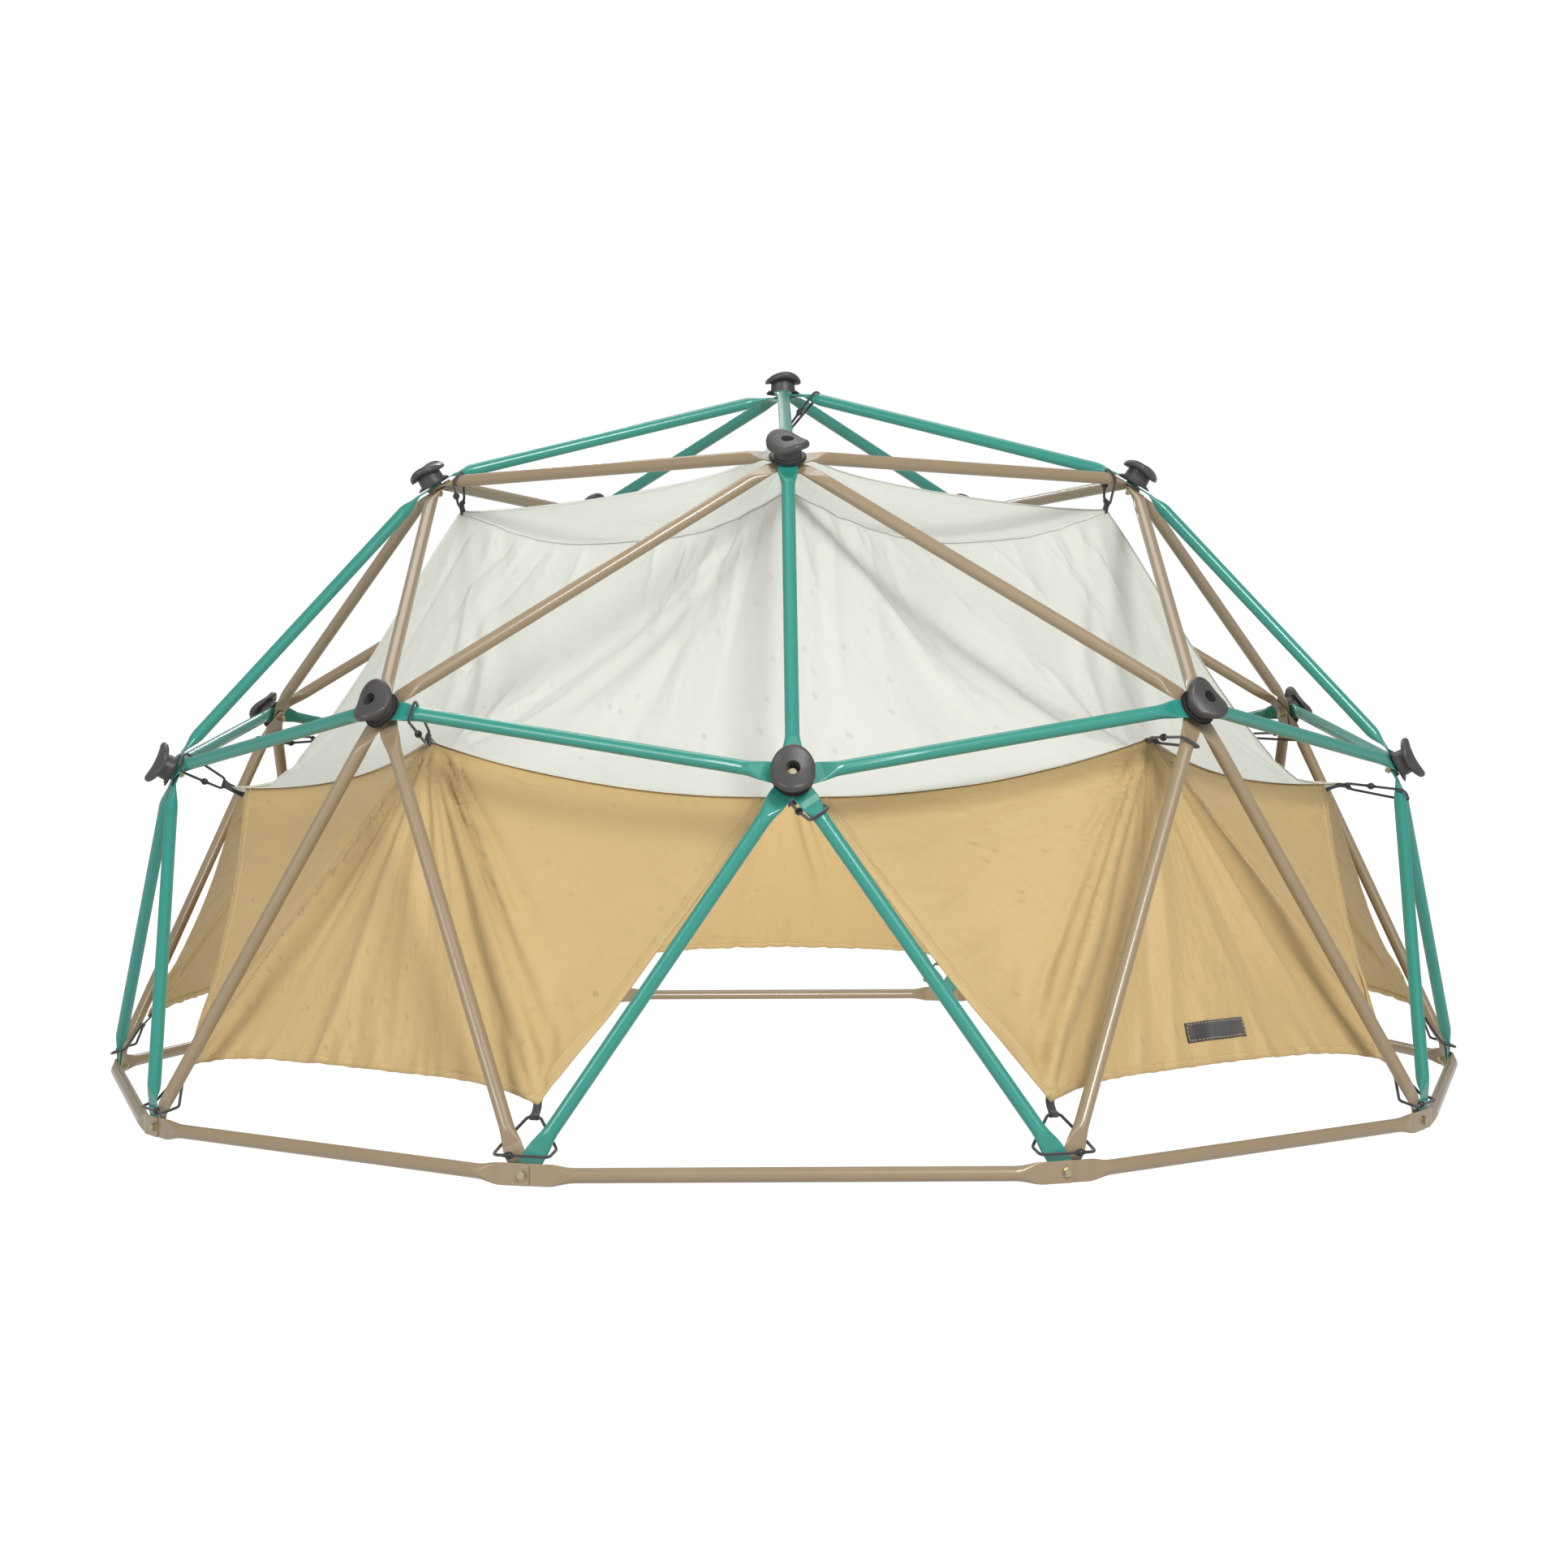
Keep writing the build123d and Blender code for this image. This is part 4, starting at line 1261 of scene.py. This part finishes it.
def build_patch(walls):
    """A plain woven label on the front right wall."""
    points = points_of("wall_patch")
    middle = middle_of(points)
    grid = walls[0]
    normals = outward_normals(grid, middle_corners[0])
    across = unit(hem_corners[1] - hem_corners[0])
    flat = grid.reshape(-1, 3)
    flat_normals = normals.reshape(-1, 3)
    width, height = LABEL_SIZE
    anchor = np.argmin(np.linalg.norm(flat - middle, axis=1))
    uphill = unit(np.cross(flat_normals[anchor], across))
    label = []
    for y in np.linspace(height / 2, -height / 2, LABEL_ROWS):
        line = []
        for x in np.linspace(-width / 2, width / 2, LABEL_COLUMNS):
            point = middle + across * x + uphill * y
            distances = np.linalg.norm(flat - point, axis=1)
            close = np.argsort(distances)[:8]
            weights = 1 / (distances[close] + 0.004) ** 2
            normal = unit((flat_normals[close] * weights[:, None]).sum(axis=0))
            gap = ((flat[close] - point) @ normal * weights).sum() / weights.sum()
            line.append(point + normal * (gap + LABEL_LIFT))
        label.append(line)
    label = np.array(label)
    item = add_object("wall_label", grid_mesh("wall_label", [label]), materials["patch_fabric"])
    uv_from_grids(item, [label])
    thicken(item, LABEL_THICKNESS)
    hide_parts("wall_patch")
    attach(item, "wall_flap_0")
    rim = np.concatenate([label[1, 1:-1], label[1:-1, -2], label[-2, -2:0:-1], label[-2:0:-1, 1]])
    out = unit(np.cross(label[0, 1] - label[0, 0], label[1, 0] - label[0, 0]))
    if out @ middle_corners[0] < 0:
        out = -out
    stitches = stitch_mesh("label", [rim + out * LABEL_THICKNESS], *STITCH)
    add_piece("wall_label_stitches", stitches, wall_thread, "wall_flap_0")


# ---------------------------------------------------------------- stage
FLOOR_GLOW = 1.2  # the far floor as the camera sees it
NEAR_FLOOR = 2.4  # the floor takes shadows up to here
FAR_FLOOR = 4.6  # and is plain white from here on
AMBIENT = 0.40  # the white world's light as the object receives it
ROOM_GLOW = 0.75  # the floor's glow as the object receives it
NEAR_GLOW_SHARE = 0.8
FLOOR_HALF = 40.0
FLOOR_LEVEL = -0.0005
LIGHTS = (  # name, place, size and power in watts
    ("key_light", (2.2, -6.2, 4.4), (2.0, 2.0), 330),
    ("fill_light", (-5.0, -5.0, 2.4), (2.5, 2.5), 120),
    ("top_light", (-0.5, 1.5, 6.0), (4.0, 4.0), 110),
    ("left_strip", (-3.2, -4.6, 2.4), (0.12, 3.4), 26),
    ("right_strip", (3.4, -4.4, 2.4), (0.12, 3.4), 26),
    ("back_strip", (-1.2, 4.6, 3.4), (0.2, 3.4), 40),
)


def build_floor():
    """A pale floor that takes soft shadows near the object and is plain white further off."""
    mesh = bpy.data.meshes.new("floor")
    corners = [(x * FLOOR_HALF, y * FLOOR_HALF, 0) for x, y in ((-1, -1), (1, -1), (1, 1), (-1, 1))]
    mesh.from_pydata(corners, [], [(0, 1, 2, 3)])
    finish = Finish("pale_floor", (0.93, 0.93, 0.93), 0.9)
    finish.set("Specular IOR Level", 0.1)
    finish.paint(finish.mix(finish.noise(0.8), (0.92, 0.92, 0.92), (0.94, 0.94, 0.94)))
    paths = finish.node("ShaderNodeLightPath")
    glow = finish.node("ShaderNodeEmission")
    finish.link(finish.spread(paths.outputs["Is Camera Ray"], ROOM_GLOW, FLOOR_GLOW), glow.inputs["Strength"])
    distance = finish.node("ShaderNodeVectorMath", operation="LENGTH")
    finish.link(finish.place(), distance.inputs[0])
    away = distance.outputs["Value"]
    share = finish.spread(away, NEAR_GLOW_SHARE, 1.0, NEAR_FLOOR, FAR_FLOOR, "SMOOTHSTEP")
    finish.blend_shaders(share, glow)
    floor = add_object("floor", mesh, finish.material, smooth=False)
    floor.location.z = FLOOR_LEVEL


def build_stage():
    build_floor()
    build_world()
    bpy.context.scene.view_settings.view_transform = "Standard"
    for name, place, size, power in LIGHTS:
        add_light(name, place, size, power)
    inside = add_light("inside_light", (0.0, -0.75, 0.40), (1.0, 0.4), 12)
    inside.rotation_euler = (math.radians(90), 0, 0)
    inside.data.spread = math.radians(110)
    inside.visible_camera = False


def build_world():
    """White behind the object, and a softer white as the room's light."""
    world = bpy.data.worlds.new("studio")
    world.use_nodes = True
    tree = world.node_tree
    background = tree.nodes["Background"]
    background.inputs["Color"].default_value = (1, 1, 1, 1)
    paths = tree.nodes.new("ShaderNodeLightPath")
    strength = tree.nodes.new("ShaderNodeMapRange")
    strength.inputs["To Min"].default_value = AMBIENT
    strength.inputs["To Max"].default_value = 1.0
    tree.links.new(paths.outputs["Is Camera Ray"], strength.inputs["Value"])
    tree.links.new(strength.outputs[0], background.inputs["Strength"])
    bpy.context.scene.world = world


def add_light(name, place, size, power):
    data = bpy.data.lights.new(name, "AREA")
    data.shape = "RECTANGLE"
    data.size, data.size_y = size
    data.energy = power
    light = bpy.data.objects.new(name, data)
    light.location = place
    aim = Vector((0, 0, 0.7)) - Vector(place)
    light.rotation_euler = aim.to_track_quat("-Z", "Y").to_euler()
    bpy.context.scene.collection.objects.link(light)
    return light


CAMERA_PLACE = Vector((-0.0625, -5.6338, 0.7694))
CAMERA_YAW = math.radians(0.63)  # towards +X
CAMERA_PITCH = math.radians(-1.40)
CAMERA_ROLL = math.radians(-0.20)
CAMERA_LENS = 58.86
SENSOR = 36.0


def build_camera():
    data = bpy.data.cameras.new("camera")
    data.lens = CAMERA_LENS
    data.sensor_width = SENSOR
    camera = bpy.data.objects.new("camera", data)
    level = math.cos(CAMERA_PITCH)
    forward = Vector((math.sin(CAMERA_YAW) * level, math.cos(CAMERA_YAW) * level, math.sin(CAMERA_PITCH)))
    turn = forward.to_track_quat("-Z", "Y").to_matrix().to_4x4()
    camera.matrix_world = Matrix.Translation(CAMERA_PLACE) @ turn @ Matrix.Rotation(CAMERA_ROLL, 4, "Z")
    bpy.context.scene.collection.objects.link(camera)
    bpy.context.scene.camera = camera


finish_cad_nodes()
roof_grids, wall_grids = canopy_grids()
roof_grids, wall_grids = settle_grids(roof_grids, wall_grids)
roof_grids, wall_grids = fold_grids(roof_grids, wall_grids)
build_roof(roof_grids)
for k, wall in enumerate(wall_grids):
    build_wall(k, wall)
build_patch(wall_grids)
build_upper_ties()
build_hem_ties()
build_stage()
build_camera()
